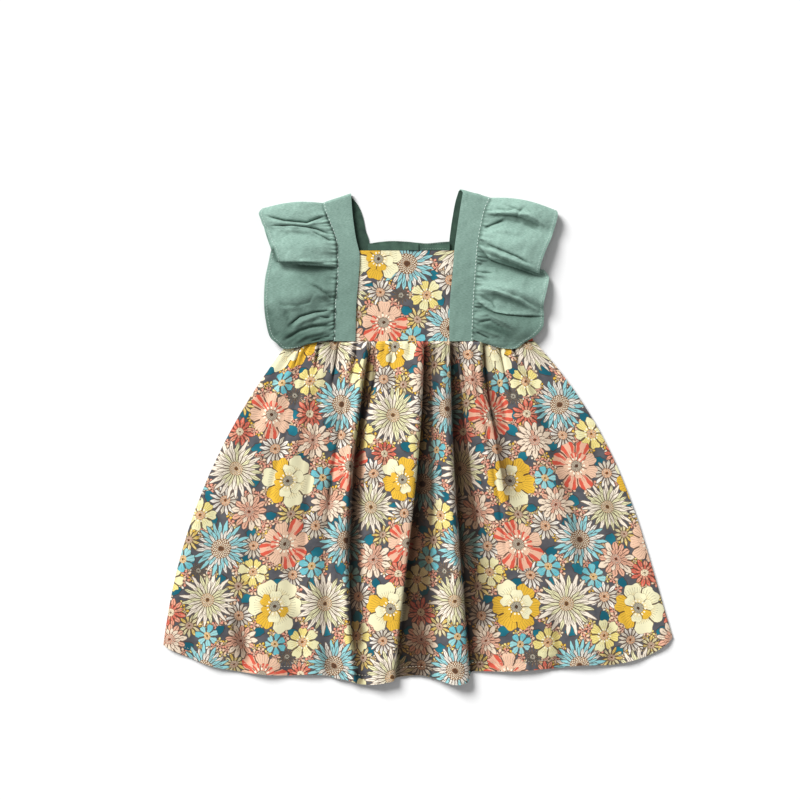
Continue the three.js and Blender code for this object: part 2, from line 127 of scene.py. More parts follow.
def press_creases(points, creases):
    """How far creases and ridges lift a cloth, or how much they shade it. Each one has the width
    of its side, its height, which is below 0 for a trough, and the points that it runs through,
    and fades at both ends. Where the width is below 0, it lies only to the right of its run, with
    a sharp edge there."""
    lift = np.zeros(points.shape[:-1])
    for _, width, height, *line in creases:
        line = np.array(line, float)
        runs = np.diff(line, axis=0)
        lengths = np.hypot(*runs.T)
        starts = distances(lengths)
        nearest = np.full(lift.shape, np.inf)
        place, right = np.zeros(lift.shape), np.zeros(lift.shape, bool)
        for start, run, length, before in zip(line, runs, lengths, starts):
            offset = points[..., :2] - start
            along = np.clip(offset @ run / length**2, 0, 1)
            apart = np.linalg.norm(offset - along[..., None] * run, axis=-1)
            closer = apart < nearest
            nearest = np.where(closer, apart, nearest)
            place = np.where(closer, (before + along * length) / starts[-1], place)
            right = np.where(closer, run[0] * offset[..., 1] < run[1] * offset[..., 0], right)
        fade = smooth((place + 0.05) / 0.3) * smooth((1.05 - place) / 0.3)
        if width > 0:
            lift += height * np.exp(-((nearest / width) ** 2)) * fade
        else:
            lift += height * np.exp(nearest / width) * smooth(nearest / SHARP_EDGE) * right * fade
    return lift


def cloth_normals(points):
    """The upward normals of a grid of points."""
    across = np.gradient(points, axis=1)
    along = np.gradient(points, axis=0)
    normals = np.cross(across, along)
    return normals / np.maximum(np.linalg.norm(normals, axis=2, keepdims=True), 1e-9)


def above_cloth(points, lift):
    """The grid of points, each one moved out along its normal."""
    return points + cloth_normals(points) * lift


def hollows(points, columns, rows, depth):
    """How deep each point lies in a fold, from 0 to 1: its depth below the cloth round it. Real
    folds are deeper than the laid shell, so this is used as painted shade, darkening the cloth's
    colour."""
    mean = points[..., 2]
    for axis, count in ((1, columns), (0, rows)):
        for _ in range(2):
            ends = [(0, 0), (0, 0)]
            ends[axis] = (count, count)
            wide = np.cumsum(np.pad(mean, ends, mode="edge"), axis=axis)
            size = 2 * count
            mean = (np.take(wide, range(size, wide.shape[axis]), axis=axis)
                    - np.take(wide, range(wide.shape[axis] - size), axis=axis)) / size
    return smooth((mean - points[..., 2]) / depth)


def shade_beside(points, lines):
    """The shade that folds throw on the cloth beside them. Each has its strength, how far it
    reaches at the start and the end of the fold's edge (below 0 to the left), and that edge."""
    shade = np.zeros(points.shape[:-1])
    for _, strength, first_reach, last_reach, *line in lines:
        xs, ys = np.array(line, float).T
        y = points[..., 1]
        place = np.clip((y - ys[0]) / (ys[-1] - ys[0]), 0, 1)
        reach = first_reach + (last_reach - first_reach) * place
        beside = (points[..., 0] - np.interp(-y, -ys, xs)) * np.sign(reach)
        reach = np.abs(reach)
        ends = smooth((ys[0] - y + 3) / 6) * smooth((y - ys[-1]) / 50)
        near, far = smooth(beside / 1.6), smooth(beside / reach - 0.15)
        shade = np.maximum(shade, strength * ends * near * (1 - far))
    return shade


def in_scene(name, data):
    """A new object, put in the scene."""
    thing = bpy.data.objects.new(name, data)
    bpy.context.scene.collection.objects.link(thing)
    return thing


def shell(name, points, flat, materials, thickness=CLOTH, shade=0.0):
    """A closed thin shell of cloth round a grid of points. flat holds each point's place on the
    uncut cloth, for the print and the weave. The materials are the right side and the reverse.
    shade is painted shade: how far the cloth's colour is darkened at each point."""
    rows, columns = points.shape[:2]
    offset = cloth_normals(points) * thickness / 2
    middle = points + origin
    vertices = np.concatenate([middle + offset, middle - offset]).reshape(-1, 3) / 1000
    number = np.arange(rows * columns).reshape(rows, columns)
    quads = np.stack([number[:-1, :-1], number[:-1, 1:], number[1:, 1:], number[1:, :-1]], -1)
    outer = quads.reshape(-1, 4)
    inner = outer[:, ::-1] + rows * columns
    rim = np.concatenate([number[0, ::-1], number[1:, 0], number[-1, 1:], number[-2:0:-1, -1]])
    following = np.roll(rim, -1)
    edge = np.stack([rim, following, following + rows * columns, rim + rows * columns], -1)
    faces = np.concatenate([outer, inner, edge])
    mesh = bpy.data.meshes.new(name)
    mesh.from_pydata(vertices.tolist(), [], faces.tolist())
    places = np.zeros((len(vertices), 3), np.float32)
    places[:, :2] = np.concatenate([flat.reshape(-1, 2)] * 2)
    cloth = mesh.attributes.new("cloth_place", "FLOAT_VECTOR", "POINT")
    cloth.data.foreach_set("vector", places.ravel())
    # Painted shade: each point's share of darkening towards the material's shade colour.
    depth = np.zeros((2, rows, columns), np.float32)
    depth[:] = shade
    hollow = mesh.attributes.new("cloth_hollow", "FLOAT", "POINT")
    hollow.data.foreach_set("value", depth.ravel())
    for material in materials:
        mesh.materials.append(material)
    reverse = np.zeros(len(faces), np.int32)
    reverse[len(outer):len(outer) + len(inner)] = len(materials) - 1
    mesh.polygons.foreach_set("material_index", reverse)
    mesh.polygons.foreach_set("use_smooth", np.ones(len(faces), bool))
    mesh.set_sharp_from_angle(angle=math.radians(65))
    mesh.validate()
    piece = in_scene(name, mesh)
    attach(piece, "root")
    return piece


def flat_places(points):
    """Each point's place on the flat cloth: along its row from the middle, and down the cloth."""
    steps = np.hypot(np.diff(points[..., 0], axis=1), np.diff(points[..., 2], axis=1))
    across = np.concatenate([np.zeros((len(points), 1)), np.cumsum(steps, axis=1)], axis=1)
    middle = np.argmin(np.abs(points[len(points) // 2, :, 0]))
    across = across - across[:, middle:middle + 1] + points[:, middle:middle + 1, 0]
    return np.stack([across, points[..., 1]], -1)


class Wire:
    """A socket that can be used in sums: an expression on wires adds its Math nodes."""

    def __init__(self, tree, socket=None):
        self.tree = tree
        self.socket = socket

    def add(self, kind, settings=(), sockets=(), out=0):
        """Adds a node: its type, its settings, then its sockets' values or links."""
        node = self.tree.nodes.new(kind)
        for name, value in dict(settings).items():
            if name == "stops":
                ramp = node.color_ramp
                while len(ramp.elements) < len(value):
                    ramp.elements.new(1)
                for stop, (place, colour) in zip(ramp.elements, value):
                    stop.position = place
                    stop.color = colour
            elif name == "ramp":
                node.color_ramp.interpolation = value
            else:
                setattr(node, name, value)
        for name, value in dict(sockets).items():
            if isinstance(value, Wire):
                self.tree.links.new(value.socket, node.inputs[name])
            else:
                node.inputs[name].default_value = value
        return Wire(self.tree, node.outputs[out] if node.outputs else None)

    def math(self, operation, *others):
        settings = {"operation": operation}
        return self.add("ShaderNodeMath", settings, dict(enumerate([self, *others])))

    def __add__(self, other):
        return self.math("ADD", other)

    def __sub__(self, other):
        return self.math("SUBTRACT", other)

    def __mul__(self, other):
        return self.math("MULTIPLY", other)

    def __truediv__(self, other):
        return self.math("DIVIDE", other)

    def __rsub__(self, other):
        return self.add("ShaderNodeMath", {"operation": "SUBTRACT"}, {0: other, 1: self})

    def __rtruediv__(self, other):
        return self.add("ShaderNodeMath", {"operation": "DIVIDE"}, {0: other, 1: self})

    __radd__ = __add__
    __rmul__ = __mul__

    def vector(self, operation, other):
        settings = {"operation": operation}
        return self.add("ShaderNodeVectorMath", settings, {0: self, 1: other})

    def scaled(self, factor):
        settings = {"operation": "SCALE"}
        return self.add("ShaderNodeVectorMath", settings, {0: self, "Scale": factor})

    def mixed(self, over, factor):
        """This colour with another one over it, where the factor is 1."""
        settings = {"data_type": "RGBA"}
        return self.add("ShaderNodeMix", settings, {0: factor, 6: self, 7: over}, out=2)

    def part(self, axis):
        return self.add("ShaderNodeSeparateXYZ", sockets={0: self}, out=axis)

    def ramp(self, stops, kind="LINEAR"):
        return self.add("ShaderNodeValToRGB", {"stops": stops, "ramp": kind}, {0: self})


def colour(code):
    """A colour from its screen code, as the renderer's own values."""
    parts = [int(code[i:i + 2], 16) / 255 for i in (0, 2, 4)]
    return (*[c / 12.92 if c < 0.04045 else ((c + 0.055) / 1.055) ** 2.4 for c in parts], 1)


# The print: flowers, leaves and berries, close together on slate cotton. It is printed on the
# cloth before the pieces are cut, with thin brown outlines, and repeats every 250 mm.
REPEAT = 250

# Each kind's size, its petals (how many, how full, where they are widest, how notched their tips,
# how many veins), the sizes of its second ring of petals and of its heart, its stripes, its stamens
# and how many there are in one repeat. Later kinds lie under earlier ones.
KINDS = table("kind radius petals fill widest notch veins ring heart stripes stamens count", [
    ("cream bloom", 26, 6, 1.16, 0.72, 0.05, 8, 0.60, 0.19, 0.0, 1, 4),
    ("turquoise daisy", 29, 25, 1.02, 0.66, 0, 1, 0.72, 0.34, 0.0, 0, 5),
    ("coral anemone", 25, 8, 1.14, 0.74, 0.04, 6, 0.56, 0.22, 0.8, 1, 4),
    ("pale chrysanthemum", 30, 23, 0.98, 0.60, 0, 1, 0.70, 0.22, 0.0, 0, 5),
    ("cream zinnia", 19, 13, 1.04, 0.70, 0.0, 1, 0.62, 0.26, 0.0, 0, 6),
    ("cream flower", 16, 7, 1.10, 0.72, 0.06, 5, 0.0, 0.26, 0.0, 1, 7),
    ("turquoise flower", 13, 7, 1.06, 0.68, 0.05, 3, 0.0, 0.28, 0.2, 0, 7),
    ("coral daisy", 15, 12, 1.00, 0.66, 0.0, 1, 0.58, 0.24, 0.6, 0, 5),
    ("white daisy", 15, 15, 0.98, 0.64, 0.0, 1, 0.0, 0.30, 0.0, 0, 12),
    ("yellow star", 13, 11, 0.90, 0.56, 0.0, 1, 0.0, 0.28, 0.5, 0, 9),
    ("seed head", 11, 15, 0.60, 0.62, 0.0, 0, 0.58, 0.24, 0.0, 0, 3),
    ("teal leaf", 11, 1, 0.36, 0.56, 0.0, 0, 0.0, 0.0, 0.0, 0, 50),
    ("peach blossom", 5.2, 5, 0.98, 0.62, 0.0, 0, 0.0, 0.30, 0.0, 0, 120),
    ("yellow blossom", 4.6, 5, 0.98, 0.62, 0.0, 0, 0.0, 0.30, 0.0, 0, 110),
    ("white blossom", 4.6, 5, 0.98, 0.62, 0.0, 0, 0.0, 0.30, 0.0, 0, 90),
])

# The colours of the same kinds: petals, other petals, heart.
COLOURS = [
    ("f3edc4", "e9b93a", "4c4a30"), ("93cfd3", "f3ede0", "96683f"), ("d95a45", "f0c6a8", "6b4a30"),
    ("f5e9d6", "eeeabb", "b08247"), ("f3dfc6", "eab296", "c0603f"), ("f0e9b6", "efdc86", "d98c30"),
    ("68bcc7", "9bd3d4", "dfa530"), ("d9604e", "eda286", "e9d2a8"), ("f6f0e4", "e6dcc8", "d0803c"),
    ("e8c14c", "f3e6b4", "a05c32"), ("d8ccb0", "93b3a8", "3a3f3c"), ("1a7485", "0f5f70", "147386"),
    ("f1cfae", "eaa088", "bf5236"), ("e9ba42", "f2dd8a", "a96f2e"), ("f3ecda", "ecdab8", "d3953e"),
]
OUTLINE = "4f3527"
OUTLINE_WIDTH = 0.75
ROOM_BETWEEN = 0.8
SAME_KIND_APART, LARGE_RADIUS = 3.2, 9
SLOTS = 8


def strew_motifs():
    """Places one repeat's motifs, the large ones first, each where it has the most room."""
    draw = np.random.default_rng(7)
    placed = []
    for kind, radius in enumerate(KINDS["radius"]):
        for _ in range(int(KINDS["count"][kind])):
            tries = draw.uniform(0, REPEAT, (400, 2))
            room = np.full(len(tries), float(REPEAT))
            for other_kind, x, y, other_radius, _, _ in placed:
                apart = np.abs(tries - (x, y))
                apart = np.hypot(*np.minimum(apart, REPEAT - apart).T)
                near = apart - ROOM_BETWEEN * (other_radius + radius)
                if other_kind == kind and radius > LARGE_RADIUS:
                    near = np.minimum(near, apart - SAME_KIND_APART * radius)
                room = np.minimum(room, near)
            best = tries[np.argmax(room)]
            size = radius * draw.uniform(0.9, 1.08)
            placed.append((kind, *best, size, draw.uniform(0, TAU), draw.uniform(0, 100)))
    return np.array(placed)


motifs = strew_motifs()
MOTIF_VALUES = ("place", "size")


def print_cloth(piece):
    """Gives each face of a printed piece the motifs that reach it, the topmost in slot 0."""
    mesh = piece.data
    flat = np.zeros(3 * len(mesh.vertices), np.float32)
    mesh.attributes["cloth_place"].data.foreach_get("vector", flat)
    corners = np.zeros(4 * len(mesh.polygons), np.int32)
    mesh.polygons.foreach_get("vertices", corners)
    corners = flat.reshape(-1, 3)[corners.reshape(-1, 4), :2]
    x, y = corners.mean(axis=1).T
    reach = np.abs(corners - corners.mean(axis=1, keepdims=True)).sum(axis=2).max(axis=1) + 1
    slots = np.zeros((SLOTS, len(MOTIF_VALUES), len(x), 3), np.float32)
    filled = np.zeros(len(x), int)
    copies = [range(math.floor(line.min() / REPEAT) - 1, math.ceil(line.max() / REPEAT) + 1)
              for line in (x, y)]
    for kind, motif_x, motif_y, radius, turn, seed in motifs:
        for i, j in ((i, j) for i in copies[0] for j in copies[1]):
            across, along = motif_x + i * REPEAT, motif_y + j * REPEAT
            if not (x.min() - radius < across < x.max() + radius):
                continue
            if not (y.min() - radius < along < y.max() + radius):
                continue
            near = (x - across) ** 2 + (y - along) ** 2 < (radius + reach) ** 2
            near = np.flatnonzero(near & (filled < SLOTS))
            slots[filled[near], :, near] = [(across, along, turn), (radius, kind, seed + 3 * i + 7 * j)]
            filled[near] += 1
    for slot in range(SLOTS):
        for number, name in enumerate(MOTIF_VALUES):
            attribute = mesh.attributes.new(f"motif{slot}_{name}", "FLOAT_VECTOR", "FACE")
            attribute.data.foreach_set("vector", slots[slot, number].ravel())


# A ramp holds the kinds' values as colours, divided by KIND_SCALE. NOT_ZERO keeps what is divided
# by above 0.
KIND_SCALE = 32
NOT_ZERO = 0.001
SECOND_RING_TURN = 2.6
OTHER_COLOUR_FROM = 0.55
LINE_STRENGTH, VEIN_STRENGTH = 0.9, 0.7
HEART_DASHES, STAMEN_DOTS = 19, 13
HEART_LIGHT, STAMEN_LIGHT = "f4ead2", "fbf3da"


def petal_ring(r, turn, petals, fill, widest, notch, seed):
    """One ring of petals: how far inside a petal a place is, as a share of the flower's radius,
    how far beside the petal's middle, and a chance value for each petal."""
    sector = turn * petals / TAU
    index = (sector + 0.5).math("FLOOR")
    beside = (sector - index).math("ABSOLUTE")
    pair = r.add("ShaderNodeCombineXYZ", sockets={
        "X": index.math("FLOORED_MODULO", petals), "Y": seed})
    chance = r.add("ShaderNodeTexWhiteNoise", {"noise_dimensions": "2D"}, {"Vector": pair})
    lobes = notch * (beside * (2 * TAU)).math("COSINE")
    outward = r / (1 - 0.2 * chance) + lobes
    tip = (outward - widest).math("MAXIMUM", 0) / (1 - widest)
    rounded = (1 - tip * tip).math("MAXIMUM", 0).math("SQRT")
    across = r / petals * TAU
    half = fill * outward.math("MINIMUM", widest) * rounded / petals * (TAU / 2)
    gap = (0.5 - beside) * across * petals.math("GREATER_THAN", 1.5)
    to_next = gap + (petals * -1 + 2).math("MAXIMUM", NOT_ZERO)
    return (half - beside * across).math("MINIMUM", to_next), beside, chance


def between(wire, low, high):
    """1 where a value lies between two others."""
    return wire.math("GREATER_THAN", low) * wire.math("LESS_THAN", high)


def draw_motif(under, place, speckle, values):
    """Draws one motif over what is under it. The values are those of MOTIF_VALUES."""
    (middle_x, middle_y, turned), (radius, kind, seed) = (
        [value.part(axis) for axis in range(3)] for value in values)
    x, y = place.part(0) - middle_x, place.part(1) - middle_y
    r = (x * x + y * y).math("SQRT") / (radius + NOT_ZERO)
    turn = y.math("ARCTAN2", x) - turned
    kind = (kind + 0.5) / len(COLOURS)

    def by_kind(which):
        stops = [(i / len(COLOURS), colour(row[which])) for i, row in enumerate(COLOURS)]
        return kind.ramp(stops, "CONSTANT")

    def kind_values(*names):
        rows = zip(*(KINDS[name] / KIND_SCALE for name in names))
        stops = [(i / len(COLOURS), (*row, 1)) for i, row in enumerate(rows)]
        values = kind.ramp(stops, "CONSTANT").scaled(KIND_SCALE)
        return [values.part(axis) for axis in range(3)]

    petals, fill, widest = kind_values("petals", "fill", "widest")
    notch, veins, stripes = kind_values("notch", "veins", "stripes")
    ring, heart, stamens = kind_values("ring", "heart", "stamens")
    petal, second, disc = (by_kind(which) for which in range(3))
    outline = colour(OUTLINE)
    line = OUTLINE_WIDTH / (radius + NOT_ZERO)
    drawn = under
    for number, size in enumerate((1, ring)):
        outward = r / (size + NOT_ZERO) if number else r
        inside, beside, chance = petal_ring(
            outward, turn + number * SECOND_RING_TURN, petals, fill, widest, notch, seed + number)
        stripe = (beside * 15 + chance * 4).math("SINE").math("GREATER_THAN", 0.1)
        other = stripe * stripes + chance.math("GREATER_THAN", OTHER_COLOUR_FROM)
        other = other.math("MINIMUM", 1)
        base = (1.05 - 1.7 * outward).math("MAXIMUM", 0)
        filled = petal.mixed(second, other).mixed(second, base)
        vein = (beside * veins * TAU).math("COSINE").math("GREATER_THAN", 0.93)
        vein = vein * between(outward, 0.25, 0.6 + 0.3 * chance) * veins.math("GREATER_THAN", 0.5)
        lines = vein * VEIN_STRENGTH + inside.math("LESS_THAN", line) * LINE_STRENGTH
        filled = filled.mixed(outline, lines.math("MINIMUM", LINE_STRENGTH))
        drawn = drawn.mixed(filled, inside.math("GREATER_THAN", 0))
    ratio = r / (heart + NOT_ZERO)
    dashes = (turn * HEART_DASHES).math("SINE") * (ratio * HEART_DASHES).math("SINE")
    dashes = dashes.math("GREATER_THAN", 0.1)
    flower = heart.math("LESS_THAN", 0.5)
    disc = disc.mixed(outline, speckle * flower * 0.8)
    disc = disc.mixed(colour(HEART_LIGHT), dashes * between(ratio, 0.3, 0.95) * flower * 0.85)
    disc = disc.mixed(outline, ratio.math("LESS_THAN", 0.25) * flower * 0.8)
    drawn = drawn.mixed(disc, ratio.math("LESS_THAN", 1))
    dots = (turn * STAMEN_DOTS).math("SINE").math("GREATER_THAN", 0.25) * between(ratio, 1.12, 1.5)
    return drawn.mixed(colour(STAMEN_LIGHT), dots * stamens)


def motif_group():
    """The drawing of one motif, as a group that the print uses once for each slot."""
    group = bpy.data.node_groups.new("motif", "ShaderNodeTree")
    sockets = {"Under": "Color", "Place": "Vector", "Speckle": "Float"}
    sockets.update({name: "Vector" for name in MOTIF_VALUES})
    for name, kind in sockets.items():
        group.interface.new_socket(name, in_out="INPUT", socket_type="NodeSocket" + kind)
    group.interface.new_socket("Drawn", in_out="OUTPUT", socket_type="NodeSocketColor")
    under, place, speckle, *values = (
        Wire(group).add("NodeGroupInput", out=name) for name in sockets)
    Wire(group).add("NodeGroupOutput", sockets={"Drawn": draw_motif(under, place, speckle, values)})
    return group


motif = motif_group()


def new_material(name):
    """A material with an empty tree, and a wire to start it from."""
    material = bpy.data.materials.new(name)
    material.use_nodes = True
    material.node_tree.nodes.clear()
    return material, Wire(material.node_tree)


THREADS_PITCH = 0.7


def new_cloth_material(name, paint, shade_colour):
    """A woven cotton: paint gives its colour, and the threads a fine bump. The last value is the
    colour of the painted shade, which the cloth's colour is multiplied by deep in a fold and in
    other places where shade is painted."""
    material, start = new_material(name)
    place = start.add("ShaderNodeAttribute", {"attribute_name": "cloth_place"}, out=1)
    warp, weft = ((place.part(axis) * (TAU / THREADS_PITCH)).math("SINE") for axis in (0, 1))
    weave = warp * weft
    slub = start.add("ShaderNodeTexNoise", {}, {
        "Vector": place.vector("MULTIPLY", (0.06, 0.9, 0)), "Scale": 1.0, "Detail": 3.0})
    height = weave * 0.25 + slub
    bump = start.add("ShaderNodeBump", {}, {
        "Strength": 0.6, "Distance": 0.00025, "Height": height})
    # Painted shade: the colour is multiplied towards the shade colour as far as the shell's shade values
    # go.
    hollow = start.add("ShaderNodeAttribute", {"attribute_name": "cloth_hollow"}, out=2)
    painted = start.add("ShaderNodeMix", {"data_type": "RGBA", "blend_type": "MULTIPLY"}, {
        0: hollow, 6: paint(place), 7: colour(shade_colour)}, out=2)
    surface = start.add("ShaderNodeBsdfPrincipled", {}, {
        "Base Color": painted, "Roughness": 0.88, "Normal": bump, "Sheen Weight": 0.12,
        "Sheen Roughness": 0.5, "Specular IOR Level": 0.25,
    })
    start.add("ShaderNodeOutputMaterial", {}, {"Surface": surface})
    return material


WOBBLE = 2.6
NEXT_TO_NOTHING = 1e-9


def printed(place):
    """The right side of the printed cotton."""
    wobble = place.add("ShaderNodeTexNoise", {}, {
        "Vector": place, "Scale": 0.16, "Detail": 2.0}, out=1)
    drawn_place = place.vector("ADD", wobble.vector("SUBTRACT", (0.5, 0.5, 0.5)).scaled(WOBBLE))
    grain = place.add("ShaderNodeTexNoise", {}, {"Vector": place, "Scale": 0.9, "Detail": 1.0})
    speckle = grain.math("GREATER_THAN", 0.52)
    tone = place.add("ShaderNodeTexNoise", {}, {"Vector": place, "Scale": 0.12, "Detail": 2.0})
    drawn = tone.ramp([(0.3, colour("4d4e53")), (0.7, colour("605f63"))])
    # The renderer can't hold the values of all the slots at once. Adding next to nothing of what
    # is under a motif makes it finish that first.
    for slot in reversed(range(SLOTS)):
        sockets = {}
        for name in MOTIF_VALUES:
            settings = {"attribute_name": f"motif{slot}_{name}"}
            value = place.add("ShaderNodeAttribute", settings, out=1)
            sockets[name] = value.vector("ADD", drawn.scaled(NEXT_TO_NOTHING))
        sockets.update({"Under": drawn, "Place": drawn_place, "Speckle": speckle})
        drawn = place.add("ShaderNodeGroup", {"node_tree": motif}, sockets)
    return drawn


def printed_reverse(place):
    """The reverse of the printed cotton: the print shows through pale and blurred."""
    patches = place.add("ShaderNodeTexVoronoi", {}, {"Vector": place, "Scale": 0.05}, out=1)
    blur = place.add("ShaderNodeTexNoise", {}, {"Vector": place, "Scale": 0.08, "Detail": 3.0})
    pale = blur.ramp([(0.35, colour("c2b9ad")), (0.65, colour("a9a9a8"))])
    return pale.mixed(patches, 0.12)


# The last colour of each cloth is the colour of its painted shade.
printed_cotton = new_cloth_material("printed_cotton_right_side", printed, "6e5d50")
printed_back = new_cloth_material("printed_cotton_reverse", printed_reverse, "8c7a6c")

# The front skirt's panel, cut from the printed cotton: lines run down its folds, and rows of
# points cross them from the hem up to the waist seam.
SKIRT_ROWS = 130
SKIRT_HEM_ROW = 3
FRONT_PRINT_PLACE, BACK_PRINT_PLACE = (38, -22), (37, 81)
PRINT_STRAIGHT_ABOVE = -36
TUCKED_UNDER, WAIST_SEAM_Z = 1.4, 3.2
COLUMNS_A_FOLD = 8
FOLD_FLATTENS, FOLD_RISE = 0.35, 0.05

# The skirt's folds from its left seam to its right: x and z at the waist, at a third and at two
# thirds of the way down and at the hem, and the hem's y.
SKIRT_FOLDS = table(
    "fold xWaist xHigh xLow xHem zWaist zHigh zLow zHem yHem",
    [
        ("left side seam", -111, -174, -213, -233, 2.1, 2.1, 2.1, 2.1, -291),
        ("left seam roll", -108, -168, -206, -225, 3.2, 3.4, 3.6, 4.0, -296),
        ("hollow", -103, -157, -192, -208, 2.8, 2.8, 2.6, 2.6, -303),
        ("swell", -96, -143, -173, -187, 4.2, 5.0, 4.5, 5.5, -311),
        ("hollow", -91, -129, -154, -162, 2.8, 4.0, 3.4, 3.0, -316),
        ("swell", -84, -114, -133, -137, 4.4, 6.0, 5.5, 6.5, -319),
        ("hollow", -78, -100, -113, -115, 2.8, 4.5, 4.0, 3.4, -320),
        ("swell", -71, -86, -95, -95, 4.6, 7.0, 6.5, 6.0, -319),
        ("hollow", -63, -73, -80, -78, 3.2, 6.0, 5.0, 3.2, -320),
        ("small pleat", -54, -64, -70, -66, 6.5, 8.5, 8.0, 5.0, -323),
        ("pleat trough", -49, -59, -65, -58, 3.0, 9.3, 8.5, 6.0, -324),
        ("left panel edge", -39, -52, -58, -50, 8.0, 12.0, 11.0, 8.5, -326),
        ("first trough", -34, -47, -52, -45, 2.4, 2.4, 2.8, 6.0, -328),
        ("middle panel foot", -23, -36, -37, -31, 6.5, 8.0, 8.0, 10.5, -328),
        ("middle panel", -8, -16, -20, -23, 5.5, 9.5, 10.0, 10.0, -327),
        ("middle panel edge", 14, 9, -2, -13, 8.5, 13.0, 11.5, 9.5, -325),
        ("second fall", 16, 12, 1, -9, 3.0, 4.0, 3.8, 3.6, -322),
        ("second trough", 21, 22, 16, 10, 2.6, 2.6, 2.8, 3.0, -320),
        ("ridge foot", 25, 29, 30, 25, 6.0, 8.0, 7.0, 5.0, -322),
        ("ridge", 33, 36, 41, 45, 9.0, 14.0, 12.5, 12.0, -328),
        ("ridge edge", 41, 43, 50, 58, 7.5, 12.5, 11.5, 10.0, -326),
        ("deep trough start", 43, 46, 54, 62, 2.2, 2.3, 2.4, 2.6, -317),
        ("deep trough end", 48, 57, 71, 72, 2.2, 2.6, 3.2, 3.2, -316),
        ("box pleat left", 51, 64, 79, 82, 7.5, 7.5, 5.5, 4.2, -316),
        ("box pleat", 61, 72, 93, 101, 9.0, 9.0, 8.0, 6.0, -316),
        ("box pleat right", 71, 79, 102, 117, 7.5, 8.5, 8.0, 6.2, -315),
        ("pleat trough", 75, 85, 111, 130, 2.6, 6.5, 7.0, 4.2, -314),
        ("pucker", 80, 96, 122, 144, 6.0, 7.0, 6.5, 3.6, -313),
        ("hollow", 87, 109, 136, 159, 3.4, 6.0, 5.4, 5.6, -311),
        ("swell", 95, 125, 152, 176, 5.0, 6.5, 5.6, 6.0, -310),
        ("hollow", 102, 143, 171, 196, 3.0, 4.6, 4.0, 3.0, -310),
        ("swell", 110, 159, 191, 216, 4.2, 5.0, 4.6, 4.6, -306),
        ("hollow", 116, 173, 209, 234, 2.8, 3.0, 2.8, 2.8, -300),
        ("right seam roll", 119, 184, 221, 248, 3.2, 3.4, 3.6, 4.0, -291),
        ("right side seam", 121, 189, 227, 255, 2.1, 2.1, 2.1, 2.1, -284),
    ],
)


def waist_gathers(seam, away, seed, spacing, height, reach, across=None):
    """Small gathers under a seam: short ridges side by side, uneven in place, length and height.
    The seam gives the places where they can start, across each point's place along it."""
    draw = np.random.default_rng(seed)
    across = seam if across is None else across
    away = np.maximum(away, 0)
    total = np.zeros(np.broadcast(across, away).shape)
    place = seam.min()
    while place < seam.max():
        place += spacing * draw.uniform(0.7, 1.35)
        length = reach * draw.uniform(0.35, 1.3)
        ridge = np.exp(-(((across - place) / (0.28 * spacing)) ** 2))
        total += height * draw.uniform(0.5, 1.2) * ridge * np.exp(-((away / length) ** 1.6))
    return total


# The shade beside the skirt's main folds: strength, its two reaches and the fold's edge.
FOLD_SHADES = [
    ("left of the first fold", 0.8, -5, -26,
     (-28, -2), (-31, -40), (-37, -78), (-39, -100), (-44, -152), (-50, -240)),
    ("right of the middle panel", 1.0, 19, 32, (17, -2), (15.5, -37), (13.5, -106), (5, -212), (0, -300)),
    ("right of the ridge", 1.0, 17, 46, (40, -2), (41, -37), (45, -106), (53, -212), (58, -305)),
    ("right of the box pleat", 0.9, 8, 22, (71.5, -2), (74, -30), (79, -70), (90, -130), (98, -180)),
    ("left of the box pleat", 0.8, -9, -5, (50, -2), (51, -20), (52, -44)),
    ("left pull", 0.5, -6, -20, (-70, -2), (-82, -60), (-94, -150), (-98, -230)),
    ("right pull", 0.5, 6, 20, (98, -2), (122, -60), (150, -150), (166, -240)),
]

